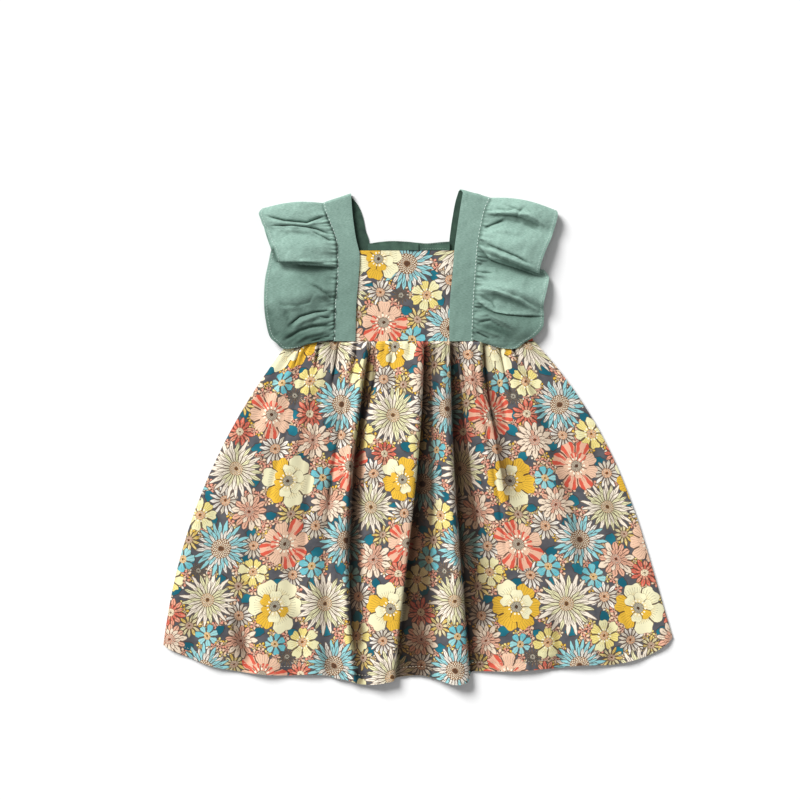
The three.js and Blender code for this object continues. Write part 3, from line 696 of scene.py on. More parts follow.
# The skirt's main falls, the tucks and creases between them, and the cups above the hem: width,
# height and the run.
SKIRT_CREASES = [
    ("first fold", 2.0, -3.2, (-28, 14), (-31, -40), (-43, -78), (-52, -117), (-50, -150), (-46, -222)),
    ("valley", 4.5, -3.5, (20, 16), (19.5, -25), (15, -106), (12, -212), (8, -277)),
    ("deep fall", 3.2, -3.0, (46, 14), (49, -40), (56, -106), (63, -200), (66, -250)),
    ("ridge", 3.2, 1.6, (31, 14), (34, -36), (40, -106), (45, -212), (50, -277)),
    ("box pleat edge", 1.3, -3.6, (50, 14), (51, -10), (54, -30), (58, -60)),
    ("box pleat edge", 1.4, -3.6, (72.5, 14), (75, -20), (80, -60), (90, -100)),
    ("box pleat face", 6.0, 1.4, (61, 14), (63, -20), (67, -50)),
    ("small tuck", 1.1, -2.4, (-64, 10), (-68, -20), (-72, -45)),
    ("small tuck", 1.2, -2.4, (-14, 8), (-15, -26)),
    ("small tuck", 1.1, -2.2, (-82, 8), (-88, -30)),
    ("small tuck", 1.2, -2.6, (86, 10), (94, -30), (104, -60)),
    ("small tuck", 1.0, -2.0, (4, 8), (3, -20)),
    ("small tuck", 1.1, -2.2, (98, 8), (112, -34)),
    ("small tuck", 1.0, -2.0, (-46, 8), (-50, -22)),
    ("small tuck", 1.0, -2.0, (-98, 6), (-108, -26)),
    ("left pull", 2.6, -1.2, (-88, -12), (-106, -60), (-128, -130), (-140, -190)),
    ("left pull ridge", 3.4, 1.0, (-80, -12), (-96, -60), (-114, -130)),
    ("crease by the first fold", 1.8, -1.6, (-46, -6), (-60, -60), (-72, -130), (-78, -180)),
    ("crease on the middle panel", 2.0, -1.4, (-6, -4), (-14, -60), (-20, -150), (-26, -240)),
    ("fine ridge on the middle panel", 1.6, 1.0, (2, -4), (-4, -70), (-10, -180)),
    ("crease on the box pleat", 1.8, -1.4, (62, -6), (74, -70), (88, -150), (98, -220)),
    ("crease beside the box pleat", 1.8, -1.8, (78, -4), (88, -40), (98, -90)),
    ("right pull", 2.4, -1.2, (96, -8), (120, -60), (146, -130), (160, -200)),
    ("right pull ridge", 3.0, 1.0, (100, -8), (128, -70), (152, -130)),
    ("right hip crease", 2.2, -1.1, (112, -6), (140, -50), (166, -110)),
    ("hem cup", 6.0, -1.5, (-168, -262), (-150, -312)),
    ("hem cup", 7.0, -1.6, (-104, -250), (-98, -320)),
    ("hem swell", 6.0, 1.6, (-128, -262), (-122, -316)),
    ("hem cup", 6.0, -1.4, (140, -255), (148, -308)),
    ("hem swell", 7.0, 1.6, (176, -250), (190, -300)),
    ("hem cup", 5.0, -1.4, (204, -250), (218, -300)),
]


def front_skirt_points():
    """The front panel's points, row by row from the hem up to the waist seam."""
    lines = len(SKIRT_FOLDS["yHem"]) - 1
    places = np.linspace(0, lines, lines * COLUMNS_A_FOLD + 1)
    down = (np.linspace(1, 0, SKIRT_ROWS + 1) ** 1.15)[:, None]
    xs = through_four([SKIRT_FOLDS[name] for name in ("xWaist", "xHigh", "xLow", "xHem")], down)
    zs = through_four([SKIRT_FOLDS[name] for name in ("zWaist", "zHigh", "zLow", "zHem")], down)
    ys = TUCKED_UNDER + (SKIRT_FOLDS["yHem"] - TUCKED_UNDER) * down
    x, y, z = (along_curve(values, places) for values in (xs, ys, zs))
    risen = 1 - (1 - FOLD_FLATTENS) * np.exp(-down / FOLD_RISE)
    z = BODICE_FRONT_Z + (z - BODICE_FRONT_Z) * risen
    points = np.stack([x, y, z], -1)
    away, waist = -y, points[-1:, :, 0]
    z = z + waist_gathers(waist, away, seed=3, spacing=4.6, height=1.5, reach=16)
    z = z + waist_gathers(waist, away, seed=5, spacing=11, height=1.6, reach=60)
    z = z + press_creases(points, SKIRT_CREASES)
    calm = smooth((x + 111) / 30) * smooth((away - 5) / 40)
    z = z + soft_waves(points, seed=11, height=0.35, lengths=(26, 70)) * calm
    from_stitches = np.arange(SKIRT_ROWS + 1)[:, None] - SKIRT_HEM_ROW
    z = z - 0.5 * np.exp(-((from_stitches / 0.8) ** 2)) * calm
    hem_waves = soft_waves(points, seed=12, height=0.22, lengths=(5, 9))
    z = z + hem_waves * calm * smooth((down - 0.93) / 0.03)
    z = np.maximum(z, BODICE_BACK_Z)
    points[..., 2] = WAIST_SEAM_Z + (z - WAIST_SEAM_Z) * smooth((0.25 - y) / 1.5)
    return points


skirt_points = front_skirt_points()
skirt_places = flat_places(skirt_points)
gathered = np.argmax(skirt_points[:, 0, 1] > PRINT_STRAIGHT_ABOVE)
skirt_places[gathered:, :, 0] = skirt_places[gathered, :, 0]
# Painted shade on the skirt: its colour darkened in the hollows of its folds and beside its main folds,
# fading out towards the waist seam.
skirt_fold_shade = hollows(skirt_points, columns=12, rows=6, depth=3.0)
skirt_fold_shade = skirt_fold_shade * smooth(-skirt_points[..., 1] / 9)
skirt_front = shell(
    "front_skirt", skirt_points, skirt_places + FRONT_PRINT_PLACE, [printed_cotton, printed_back],
    shade=np.maximum(skirt_fold_shade, shade_beside(skirt_points, FOLD_SHADES)))
print_cloth(skirt_front)
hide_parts("skirt_front")
# Hem stitches: a running row of pale sewing thread, a little above the front hem's folded edge.
# Each stitch is a short piece of thread that lies on the cloth between two needle holes.
def stitches(name, path, material, pitch=3.4, length=2.4, radius=0.36):
    """A row of stitches along a path: each one is a short thread with rounded ends."""
    run = distances(np.linalg.norm(np.diff(path, axis=0), axis=1))
    sides, swell = 6, np.array([0.15, 0.75, 1.0, 1.0, 0.75, 0.15])
    vertices, faces = [], []
    for start in np.arange(1, run[-1] - length, pitch):
        places = np.linspace(start, start + length, len(swell))
        line = np.stack([np.interp(places, run, path[:, axis]) for axis in range(3)], -1)
        ahead = line[-1] - line[0]
        ahead /= np.linalg.norm(ahead)
        beside = np.cross(ahead, (0, 0, 1))
        beside /= np.linalg.norm(beside)
        above = np.cross(beside, ahead)
        first = len(vertices)
        for centre, size in zip(line, swell):
            for side in range(sides):
                angle = TAU * side / sides
                spoke = beside * math.cos(angle) + above * math.sin(angle)
                vertices.append((centre + radius * size * spoke + origin) / 1000)
        for ring in range(len(swell) - 1):
            for side in range(sides):
                a, b = first + ring * sides + side, first + ring * sides + (side + 1) % sides
                faces.append((a, b, b + sides, a + sides))
        faces.append(tuple(first + side for side in reversed(range(sides))))
        faces.append(tuple(first + (len(swell) - 1) * sides + side for side in range(sides)))
    mesh = bpy.data.meshes.new(name)
    mesh.from_pydata([tuple(v) for v in vertices], [], faces)
    mesh.materials.append(material)
    mesh.polygons.foreach_set("use_smooth", np.ones(len(faces), bool))
    piece = in_scene(name, mesh)
    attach(piece, "root")


def thread(name, light, dark):
    """A matte sewing thread, twisted from a lighter and a darker ply."""
    material, start = new_material(name)
    place = start.add("ShaderNodeTexCoord", out="Object")
    twist = start.add("ShaderNodeTexWave", {"wave_type": "BANDS", "bands_direction": "DIAGONAL"}, {
        "Vector": place, "Scale": 1200.0, "Distortion": 1.0})
    surface = start.add("ShaderNodeBsdfPrincipled", {}, {
        "Base Color": twist.ramp([(0.2, colour(dark)), (0.8, colour(light))]), "Roughness": 0.7})
    start.add("ShaderNodeOutputMaterial", {}, {"Surface": surface})
    return material


hem_path = above_cloth(skirt_points, 0.42)[SKIRT_HEM_ROW, 3:-3]
hem_thread = thread("hem_thread", "d9cfba", "b9ac94")
stitches("front_hem_stitches", hem_path, hem_thread,
         pitch=3.0, length=1.9, radius=0.2)

# Back skirt: the same cut as the front one, joined to it at both side seams. It lies flat on the
# surface under the front skirt, and its hem stays a few millimetres inside the front hem.
BACK_HEM = table("place x y", [
    ("left", -233, -289), ("", -211, -298), ("", -187, -307), ("", -150, -313), ("", -95, -316),
    ("", -30, -317), ("", 40, -315), ("", 100, -312), ("", 170, -306), ("", 215, -300),
    ("", 242, -291), ("right", 255, -282),
])
BACK_LOWEST, BACK_HIGHEST = 0.31, 1.3


def back_skirt_points():
    """The back panel's points, between the same side seams as the front one's."""
    down = (np.linspace(1, 0, 91) ** 1.1)[:, None]
    names = ("xWaist", "xHigh", "xLow", "xHem")
    left, right = (through_four([SKIRT_FOLDS[name][i] for name in names], down) for i in (0, -1))
    share = np.linspace(0, 1, 161)[None, :]
    x = left + (right - left) * share
    first, last = BACK_HEM["x"][[0, -1]]
    hem = np.interp(first + (last - first) * share, BACK_HEM["x"], BACK_HEM["y"])
    y = -SEAM + (hem + SEAM) * down
    points = np.stack([x, y, np.full_like(x, BACK_Z)], -1)
    wave = soft_waves(points, seed=21, height=0.22, lengths=(24, 60))
    gathers = waist_gathers(points[-1:, :, 0], -y, seed=4, spacing=6, height=0.35, reach=26)
    points[..., 2] = np.clip(BACK_Z + np.maximum(wave, -0.2) + gathers, BACK_LOWEST, BACK_HIGHEST)
    return points


back_points = back_skirt_points()
skirt_back = shell(
    "back_skirt", back_points, flat_places(back_points) + BACK_PRINT_PLACE,
    [printed_back, printed_cotton])
print_cloth(skirt_back)
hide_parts("skirt_back")

# Bodice front: a small panel of the same print with a straight neckline. Its upper edges run
# under the straps, its lower corners out under the arms to short side seams.
UNDERARM_Y = 28
UNDERARM_ROWS = 22
ARMHOLE_TOP = 52.2
FRONT_PANEL, BACK_PANEL = (-58, 58, 87, 84, -62, 61), (-37, 42, 93, 82, -60, 61)
BODICE_PRINT_PLACE = (61, 17)


def bodice_points(panel, z, rows=70, columns=110):
    """A bodice panel's points: straight under the arm, then the armhole's curve, then straight.
    The panel gives the neckline's ends and height, where it narrows to them, and its sides."""
    neck_left, neck_right, neck_y, step_y, edge_left, edge_right = panel
    under_arm = np.linspace(SEAM, UNDERARM_Y, UNDERARM_ROWS)
    y = np.concatenate([under_arm, np.linspace(UNDERARM_Y + 0.3, neck_y, rows - UNDERARM_ROWS)])
    turn = np.sqrt(np.clip((y - UNDERARM_Y) / (ARMHOLE_TOP - UNDERARM_Y), 0, 1))
    left = edge_left + (WAIST_LEFT - edge_left) * (1 - turn) ** 2
    right = edge_right + (WAIST_RIGHT - edge_right) * (1 - turn) ** 2
    above = smooth((y - step_y + 2) / 2)
    left, right = left + (neck_left - left) * above, right + (neck_right - right) * above
    share = np.linspace(0, 1, columns)
    x = left[:, None] + (right - left)[:, None] * share
    y = np.repeat(y[:, None], columns, axis=1)
    return np.stack([x, y, np.full_like(x, z)], -1)


def lay_flat(points, seed, height, gather):
    """Gives a flat panel its soft waves, and small gathers that rise from the waist seam."""
    points[..., 2] += soft_waves(points, seed, height, lengths=(18, 44))
    points[..., 2] += waist_gathers(
        points[:1, :, 0], points[..., 1], seed + 1, spacing=7, height=gather, reach=9)
    return points


front_bodice_points = lay_flat(
    bodice_points(FRONT_PANEL, BODICE_FRONT_Z), seed=31, height=0.18, gather=0.4)
bodice_front = shell(
    "front_bodice", front_bodice_points, front_bodice_points[..., :2] + BODICE_PRINT_PLACE,
    [printed_cotton, printed_back])
print_cloth(bodice_front)
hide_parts("bodice_front")


# Bodice back: the sage panel that shows above the front neckline, with the same armholes. Its
# right side lies on the surface, so the side that shows is the inside of the dress.
def sage(place):
    """Plain sage cotton: an even colour with a fine melange of lighter and darker threads."""
    tone = place.add("ShaderNodeTexNoise", {}, {"Vector": place, "Scale": 0.05, "Detail": 3.0})
    threads = place.add("ShaderNodeTexNoise", {}, {
        "Vector": place.vector("MULTIPLY", (0.35, 2.4, 0)), "Scale": 1.0, "Detail": 2.0})
    plain = tone.ramp([(0.3, colour("87a599")), (0.7, colour("97b6a9"))])
    return plain.mixed(threads.ramp([(0.35, colour("6e9082")), (0.65, colour("b0d0c3"))]), 0.45)


def sage_inside(place):
    """The inside of the sage cotton, flatter in colour, and dark partly as painted shade, since the inside
    of the dress lies in its shade.
    """
    tone = place.add("ShaderNodeTexNoise", {}, {"Vector": place, "Scale": 0.12, "Detail": 3.0})
    return tone.ramp([(0.3, colour("3f574d")), (0.7, colour("52705f"))])


# The last colour of each cloth is the colour of its painted shade.
sage_reverse = new_cloth_material("sage_cotton_inside_shaded", sage_inside, "8a9590")
sage_cotton = new_cloth_material("sage_cotton_cloth", sage, "8a9590")
back_bodice_points = lay_flat(
    bodice_points(BACK_PANEL, BODICE_BACK_Z), seed=41, height=0.12, gather=0.2)
bodice_back = shell(
    "back_bodice", back_bodice_points, back_bodice_points[..., :2], [sage_reverse, sage_cotton])
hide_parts("bodice_back")

# Back neck band: a strip of sage cotton along the back neck, gathered a little, so its top edge
# waves. The short centre placket lies on it and closes the back.
BAND_TOP = table("place x y", [
    ("left", -37, 93.5), ("", -27, 95), ("", -15, 96), ("", 0, 95.5), ("", 12, 94.3),
    ("", 20, 93.8), ("", 31, 94.8), ("right", 41, 95.5),
])
BAND_LEFT, BAND_RIGHT = -36.5, 41.3
BAND_ROWS = 16
STITCHED_FROM, STITCHED_TO = 14, 40
BAND_Z = BODICE_BACK_Z + LAYER
BAND_LOW = 87.3
DOUBLED_CLOTH = 0.9
PLACKET_LEFT, PLACKET_RIGHT = 1.5, 11.5
PLACKET_TOP, PLACKET_DROP = 94.7, 1.3


def band_points():
    """The neck band's points: small waves along it, and a top edge that stands up a little."""
    x = np.linspace(BAND_LEFT, BAND_RIGHT, 90)
    top = along_curve(BAND_TOP["y"], np.interp(x, BAND_TOP["x"], np.arange(len(BAND_TOP["x"]))))
    rise = np.linspace(0, 1, BAND_ROWS)[:, None]
    y = BAND_LOW + (top - BAND_LOW) * rise
    x = np.repeat(x[None, :], len(rise), axis=0)
    z = BAND_Z + 0.35 * np.sin(TAU * x / 11 + 0.5) * rise + 0.3 * smooth((rise - 0.75) / 0.2)
    return np.stack([x, y, z], -1)


neck_points = band_points()
left_shade = 0.12 * smooth((3 - neck_points[..., 0]) / 4)
neck_band = shell(
    "neck_band", neck_points, neck_points[..., :2], [sage_reverse], DOUBLED_CLOTH, left_shade)
band_thread = thread("band_thread", "a9bdb3", "8ea69a")
seam_x = np.linspace(STITCHED_FROM, STITCHED_TO, 40)
for row in (3, -3):
    seam_path = np.stack([np.interp(seam_x, neck_points[row, :, 0], neck_points[row, :, axis])
                          for axis in range(3)], -1) + (0, 0, 0.55)
    stitches(f"neck_band_stitches_{row % BAND_ROWS}", seam_path, band_thread,
             pitch=2.4, length=1.5, radius=0.17)
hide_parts("back_neck_band")

across, up = np.meshgrid(np.linspace(PLACKET_LEFT, PLACKET_RIGHT, 12), np.linspace(0, 1, 12))
top = PLACKET_TOP - PLACKET_DROP * (across - PLACKET_LEFT) / (PLACKET_RIGHT - PLACKET_LEFT)
placket_points = np.stack([
    across, BAND_LOW + (top - BAND_LOW) * up, np.full_like(across, BAND_Z + LAYER)], -1)
placket = shell("placket", placket_points, placket_points[..., :2], [sage_reverse], DOUBLED_CLOTH)
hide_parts("back_placket")

# Straps: each one is a folded strip of sage cotton from the front waist over the shoulder to the
# back waist. The flutter sleeve is caught in its outer seam.
STRAP_FRONT_Z = BODICE_FRONT_Z + LAYER
SHOULDER_RADIUS = (STRAP_FRONT_Z - BACK_Z) / 2
STRAP_STITCHED_ROWS = 95
STRAP_BACK_SHADE = 0.6

# The y and x of each strap's edges, on the front and then on the back.
STRAP_EDGES = {
    "left": {
        "inner": (
            [(0, -49), (37, -48), (60, -46), (83, -45), (99, -48.5), (120, -51.5), (139, -53)],
            [(0, -33), (40, -33), (78, -34), (97, -36), (106, -39), (118, -41.5), (130, -46), (139, -53)],
        ),
        "outer": (
            [(0, -70), (37, -69), (60, -67), (83, -67), (99, -68.5), (120, -77), (130, -80)],
            [(0, -54), (40, -54), (78, -57), (97, -61), (106, -65), (118, -72.5), (126, -77.6), (130, -80)],
        ),
    },
    "right": {
        "inner": (
            [(0, 41), (37, 41.5), (64, 44), (89, 46), (104, 48), (131, 52), (142, 54)],
            [(0, 38), (40, 38), (78, 39), (95, 41), (104, 42), (118, 44), (134, 47), (144, 50)],
        ),
        "outer": (
            [(0, 64), (31, 65), (64, 67), (90, 69), (104, 71), (126, 76), (135, 80)],
            [(0, 59), (40, 59), (78, 62), (95, 65), (104, 67), (118, 72), (135, 80)],
        ),
    },
}


def edge_x(rows, y):
    """An edge's x at any height, on a smooth curve through its rows of y and x."""
    ys, xs = np.array(rows, float).T
    i = int(np.clip(np.searchsorted(ys, y, side="right") - 1, 0, len(ys) - 2))
    length = ys[i + 1] - ys[i]
    low, high = max(i - 1, 0), min(i + 2, len(ys) - 1)
    start = (xs[i + 1] - xs[low]) / (ys[i + 1] - ys[low]) * length
    end = (xs[high] - xs[i]) / (ys[high] - ys[i]) * length
    return curve_between((y - ys[i]) / length, xs[i], xs[i + 1], start, end)


def strap_edge(side, edge, along, turn):
    """A point of a strap's edge: along is 0 at the waist and 1 at the shoulder fold, turn is 0 on
    the front, 1 on the back and between them round the fold."""
    front, back = STRAP_EDGES[side][edge]
    y_front = SEAM + (front[-1][0] - SEAM) * along
    y_back = SEAM + (back[-1][0] - SEAM) * along
    angle = math.pi * turn
    return np.array([
        edge_x(front, y_front) * (1 - turn) + edge_x(back, y_back) * turn,
        y_front * (1 - turn) + y_back * turn + SHOULDER_RADIUS * math.sin(angle),
        (STRAP_FRONT_Z + BACK_Z) / 2 + SHOULDER_RADIUS * math.cos(angle),
    ])


def strap_points(side, columns=17):
    """A strap's points: up its front, round the shoulder fold and down its back."""
    rise = np.linspace(0, 1, 90)
    stations = [(along, 0) for along in rise[:-1]]
    stations += [(1, turn) for turn in np.linspace(0, 1, 15)]
    stations += [(along, 1) for along in rise[-2::-1]]
    share = np.linspace(0, 1, columns)[:, None]
    rows = []
    for along, turn in stations:
        edges = [strap_edge(side, edge, along, turn) for edge in ("inner", "outer")]
        if side == "left":
            edges.reverse()
        rows.append(edges[0] * (1 - share) + edges[1] * share)
    return np.array(rows)


def strip_places(points):
    """Places on the flat cloth of a strip that turns over: across it and along its run."""
    run = distances(np.linalg.norm(np.diff(points, axis=0), axis=2).mean(axis=1))
    across = np.linalg.norm(points - points[:, :1], axis=2)
    return np.stack([across, np.repeat(run[:, None], points.shape[1], axis=1)], -1)


def worn_strap(side):
    """The strap with shallow waves, puckers along its outer seam and soft edges."""
    points = strap_points(side)
    places = strip_places(points)
    width = places[:, -1:, 0]
    out = places[..., 0] if side == "right" else width - places[..., 0]
    middle = np.abs(2 * places[..., 0] / width - 1)
    seed = 71 if side == "left" else 81
    run = places[:, :1, 1]
    lift = 0.35 * (1 - middle**6) + soft_waves(points, seed, height=0.14, lengths=(9, 30))
    lift += waist_gathers(
        run[:, 0], width - out, seed + 1, spacing=4.2, height=0.4, reach=3.5, across=run)
    points = above_cloth(points, lift[..., None])
    points[..., 2] = np.maximum(points[..., 2], DOUBLED_CLOTH / 2 + 0.02)
    return points, places


sage_thread = thread("sage_thread", "e2efe9", "bfd4ca")
for side in ("left", "right"):
    points, places = worn_strap(side)
    seam_column = 1 if side == "left" else -2
    seam_path = above_cloth(points, 0.5)[:STRAP_STITCHED_ROWS, seam_column]
    stitches(f"{side}_strap_stitches", seam_path, sage_thread)
    # Painted shade: the strap a little darker towards the waist, and its back, which lies in the dress's
    # shade, darker still.
    shade = 0.22 + 0.25 * smooth((118 - points[..., 1]) / 80)
    shade[len(shade) // 2 + 4:] = STRAP_BACK_SHADE
    strap = shell(
        f"{side}_strap", points, places, [sage_cotton, sage_reverse], DOUBLED_CLOTH, shade)
    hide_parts(f"strap_{side}")

# Flutter sleeves: each one is a strip of sage cotton, wide at the shoulder and narrow at both
# ends, gathered into the strap's outer seam. It lies in folds, its free edge narrowly hemmed.
TUCK = 2.0
SLEEVE_ON_SKIRT, SLEEVE_ON_BODICE = 6.4, 4.8
SLEEVE_WIDTH = 62
RUFFLE_ROWS_A_RIB = 10
RUFFLE_STEPS = 54
BACK_WAVE_Z = (0.6, 2.2, 0.6, 2.2, 0.6, 2.2, 0.6, 0.6, 0.6, 0.6, 0.6)


def back_waves(*ends):
    """The ribs of a sleeve's back half, low even waves, from the foot, x and y of each."""
    return [("back wave", *end, z, 0, 0) for end, z in zip(ends, BACK_WAVE_Z)]


# The sleeves' ribs from the front end to the back: the foot's place along the strap's seam, the
# free edge's x, y and z, how far the rib arches up and how far it bows towards the shoulder.
RIB_COLUMNS = "rib foot x y z arch bow"
RUFFLE_RIBS = {
    "left": table(RIB_COLUMNS, [
        ("front end", 1.5, -91, -1, 6.4, 1.0, 0),
        ("crest", 8, -105, -6, 6.6, 1.6, 0),
        ("dark trough", 15, -118, -7, 6.4, 1.0, 2),
        ("ridge", 22, -124, -2, 7.0, 2.0, 3),
        ("crease", 29, -131, 5, 7.2, 1.5, 4),
        ("lower lobe", 38, -135, 23, 8.8, 3.0, 0),
        ("lower lobe top", 47, -136, 40, 11.0, 4.0, 0),
        ("shaded fall", 56, -135, 60, 8.0, 1.5, 0),
        ("under layer", 62, -132, 76, 4.2, -0.3, 0),
        ("lower turn", 67, -129, 88, 6.0, 0.0, 0),
        ("turned layer", 71.5, -126.5, 81, 9.0, 0.8, 0),
        ("upper lobe edge", 76.5, -124, 76, 13.5, 2.4, 0),
        ("upper lobe", 85, -126, 87, 14.0, 3.0, 0),
        ("upper lobe top", 93, -131, 97, 12.0, 3.0, 0),
        ("second crease", 101, -134, 106, 10.6, 1.0, 0.5),
        ("strip", 109, -137.5, 111.5, 11.0, 1.5, -1.5),
        ("first crease", 116.5, -139, 116, 10.8, 1.5, -3.5),
        ("top lobe", 125, -141, 122, 10.5, 2.0, -1),
        ("shoulder front", 131.4, -138, 126.5, 7.5, 1.5, 3),
        ("shoulder", 133.5, -136, 126.5, 5.2, 0.5, 3),
        ("shoulder back", 135.7, -136, 125, 2.4, 0.0, 2),
        *back_waves(
            (145, -138, 116), (153, -136, 107), (163, -133, 97), (175, -129, 84), (187, -131, 70),
            (200, -132, 55), (213, -131, 40), (225, -127, 29), (239, -118, 17), (252, -106, 8),
            (264, -92, 2)),
    ]),
    "right": table(RIB_COLUMNS, [
        ("front end", 2, 78, -3, 6.4, 0.8, 0),
        ("crest", 7.5, 91, -6.5, 6.2, 1.6, 0),
        ("small crease", 11, 104, -7, 6.2, 1.0, 0),
        ("lowest lobe", 17, 113, -1, 7.0, 2.0, 0),
        ("lowest ridge", 24, 123, 5, 9.5, 3.5, 3),
        ("dark fall", 29, 130, 13, 8.0, 1.5, 3),
        ("dark trough", 35, 131.5, 22, 7.0, 0.5, 2),
        ("gather", 42, 131, 30, 9.5, 1.5, 4),
        ("third lobe ridge", 53, 131, 37, 14.5, 4.0, 4),
        ("third lobe", 61, 134, 49, 12.0, 2.5, 0),
        ("shaded fall", 69, 136, 58, 8.5, 1.5, 0),
        ("under layer", 76, 136, 62.5, 5.4, 0.0, 0),
        ("roll turn", 81, 131, 68, 7.8, 0.0, 0),
        ("roll", 86.5, 127, 64.5, 11.5, 1.5, 0),
        ("second lobe edge", 92, 128, 73, 15.0, 3.0, 0),
        ("second lobe", 101, 133, 87, 14.0, 4.0, 0),
        ("second lobe top", 109, 138, 98, 11.5, 2.5, 0),
        ("dark fall", 115, 141, 107, 10.0, 1.5, 0),
        ("first ridge", 122, 143, 114, 11.5, 3.0, 2),
        ("top lobe", 130, 144.5, 121, 10.5, 2.5, 3),
        ("shoulder front", 136.9, 143.5, 124.5, 8.0, 1.5, 4),
        ("shoulder", 139, 143.5, 124.5, 4.8, 0.5, 4),
        ("shoulder back", 141.2, 142.5, 123.5, 2.2, 0.0, 3),
        *back_waves(
            (154, 141, 116), (164, 139, 106), (175, 134, 93), (187, 127, 80), (199, 129, 67),
            (212, 131, 54), (224, 129, 40), (236, 126, 29), (250, 118, 17), (263, 104, 8),
            (275, 88, 2)),
    ]),
}


def ruffle_points(side):
    """A sleeve's points: its seam edge follows the strap, its free edge the ribs' ends."""
    ribs = RUFFLE_RIBS[side]
    outward = -1 if side == "left" else 1
    fold_y = STRAP_EDGES[side]["outer"][0][-1][0]
    fold_length = math.pi * SHOULDER_RADIUS
    count = (len(ribs["foot"]) - 1) * RUFFLE_ROWS_A_RIB
    s = np.linspace(0, 1, RUFFLE_STEPS + 1)
    bulge, rise = np.sin(math.pi * s), np.sin(math.pi * s / 2) ** 0.8
    rows = []
    for place in np.linspace(0, len(ribs["foot"]) - 1, count + 1):
        rib = {name: along_curve(values, np.array(place)) for name, values in ribs.items()}
        turn = float(np.clip((rib["foot"] - fold_y) / fold_length, 0, 1))
        height = rib["foot"] if turn == 0 else 2 * fold_y + fold_length - rib["foot"]
        along = 1 if 0 < turn < 1 else height / fold_y
        foot = strap_edge(side, "outer", along, turn)
        foot[0] -= outward * TUCK
        foot[2] -= 0.75 * math.cos(math.pi * turn)
        lift = (rib["z"] - foot[2]) * rise * (1 - 0.22 * s**2)
        row = np.stack([
            foot[0] + (rib["x"] - foot[0]) * s,
            foot[1] + (rib["y"] - foot[1]) * s + rib["bow"] * bulge,
            foot[2] + lift + (rib["arch"] + 0.8) * bulge,
        ], -1)
        rows.append(row[::-1] if side == "left" else row)
    return np.array(rows)


# Creases of the sleeves' front halves, from the shoulder down: width, height and the run.
RUFFLE_CREASES = {
    "left": [
        ("shoulder pleat", 0.8, -2.0, (-118, 128), (-102, 132.5), (-82, 129)),
        ("shoulder pleat ridge", 2.0, 1.0, (-117, 124), (-101, 128), (-83, 125)),
        ("first crease", 1.0, -3.2, (-135, 120), (-117, 115), (-95, 113), (-77, 121)),
        ("first ridge", 2.2, 2.2, (-133, 116), (-115, 111.5), (-96, 110.5), (-82, 115)),
        ("second crease", 0.9, -3.2, (-130, 110), (-110, 110.5), (-95, 109), (-85, 107), (-72, 101.5)),
        ("second ridge", 2.2, 1.8, (-124, 106), (-108, 106), (-92, 104.5), (-74, 98)),
        ("short crease", 1.1, -3.0, (-90, 104.5), (-71, 95.5)),
        ("edge near the strap", 2.4, 2.6, (-106, 75), (-86, 73), (-68, 72)),
        ("fall under it", -5.0, -3.6, (-127, 76.5), (-98, 73.8), (-66, 71.5)),
        ("wedge ridge", 1.8, 2.2, (-94, 60), (-82, 53), (-70, 45)),
        ("under fold", 1.4, -2.8, (-94, 55), (-82, 49), (-70, 40)),
        ("under ridge", 2.0, 2.0, (-104, 58), (-88, 50), (-71, 36)),
        ("arc wrinkle", 0.9, -0.8, (-127, 41), (-120, 35), (-105, 34), (-93, 37), (-86, 48)),
        ("arc wrinkle ridge", 1.6, 0.5, (-126, 37), (-119, 31.5), (-104, 31)),
        ("lower crease", 0.9, -3.0, (-113, 14.5), (-102, 23.5), (-88.5, 27.7), (-70, 29.6)),
        ("lower ridge", 2.0, 2.2, (-110, 12), (-99, 19), (-87, 23.5), (-71, 25.5)),
        ("short lower crease", 0.9, -1.8, (-86, 24), (-72, 22)),
        ("dark band", 1.8, -3.2, (-118, 0), (-102, 10), (-90, 14), (-71, 16)),
        ("band ridge", 2.2, 2.0, (-110, -3), (-96, 5), (-80, 9), (-71, 9)),
        ("bottom crease", 1.1, -2.4, (-92, -0.5), (-72, 5)),
    ],
    "right": [
        ("shoulder wrinkle", 1.0, -1.5, (84, 133), (98, 129), (112, 123)),
        ("shoulder wrinkle", 1.0, -1.2, (116, 131), (108, 124), (104, 118)),
        ("shoulder wrinkle", 0.9, -1.0, (86, 127), (96, 124), (104, 127)),
        ("cross wrinkle", 0.9, -0.9, (112, 130), (120, 121), (128, 116)),
        ("first ridge", 1.8, 2.8, (76, 123), (100, 122.5), (117, 120), (134, 108)),
        ("first edge", -5.0, -1.8, (72, 121), (88, 122), (104, 120.5), (124, 113)),
        ("fall under it", 2.4, -0.6, (76, 113), (98, 115.5), (114, 111), (134, 101)),
        ("crease at the seam", 1.2, -2.6, (74, 108), (84, 112), (94, 116)),
        ("second lobe top", 2.4, 1.4, (76, 103), (92, 106), (112, 101)),
        ("roll crease", 0.9, -3.0, (76, 93), (92, 86), (106, 80), (118, 73)),
        ("roll ridge", 1.6, 2.4, (76, 89), (90, 81.5), (104, 76), (124, 68)),
        ("roll's lower edge", -7.0, -3.4,
         (70, 92), (73.5, 87), (80, 79), (91, 74.8), (101, 72), (114, 67.5), (132, 61)),
        ("seam pleat", 1.1, -1.6, (70, 76), (82, 73)),
        ("seam pleat", 1.0, -1.4, (70, 66), (84, 65)),
        ("third lobe ridge", 1.6, 2.6, (69, 51.5), (87, 47), (109, 39), (127, 28)),
        ("third lobe crease", 1.0, -1.2, (70, 44), (82, 37), (86, 29)),
        ("fall below it", -5.5, -3.4,
         (66, 42), (76, 33), (84, 28.5), (94, 26.3), (109, 25.2), (134, 24.5)),
        ("fourth ridge", 1.6, 2.8, (67, 24.5), (78, 26), (92, 19), (102, 11)),
        ("fourth fall", 1.4, -2.6, (68, 18), (80, 20), (92, 12)),
        ("lowest crease", 1.0, -2.6, (66, 9), (80, 2)),
        ("lowest ridge", 1.6, 1.6, (66, 13), (78, 9), (90, 4)),
    ],
}

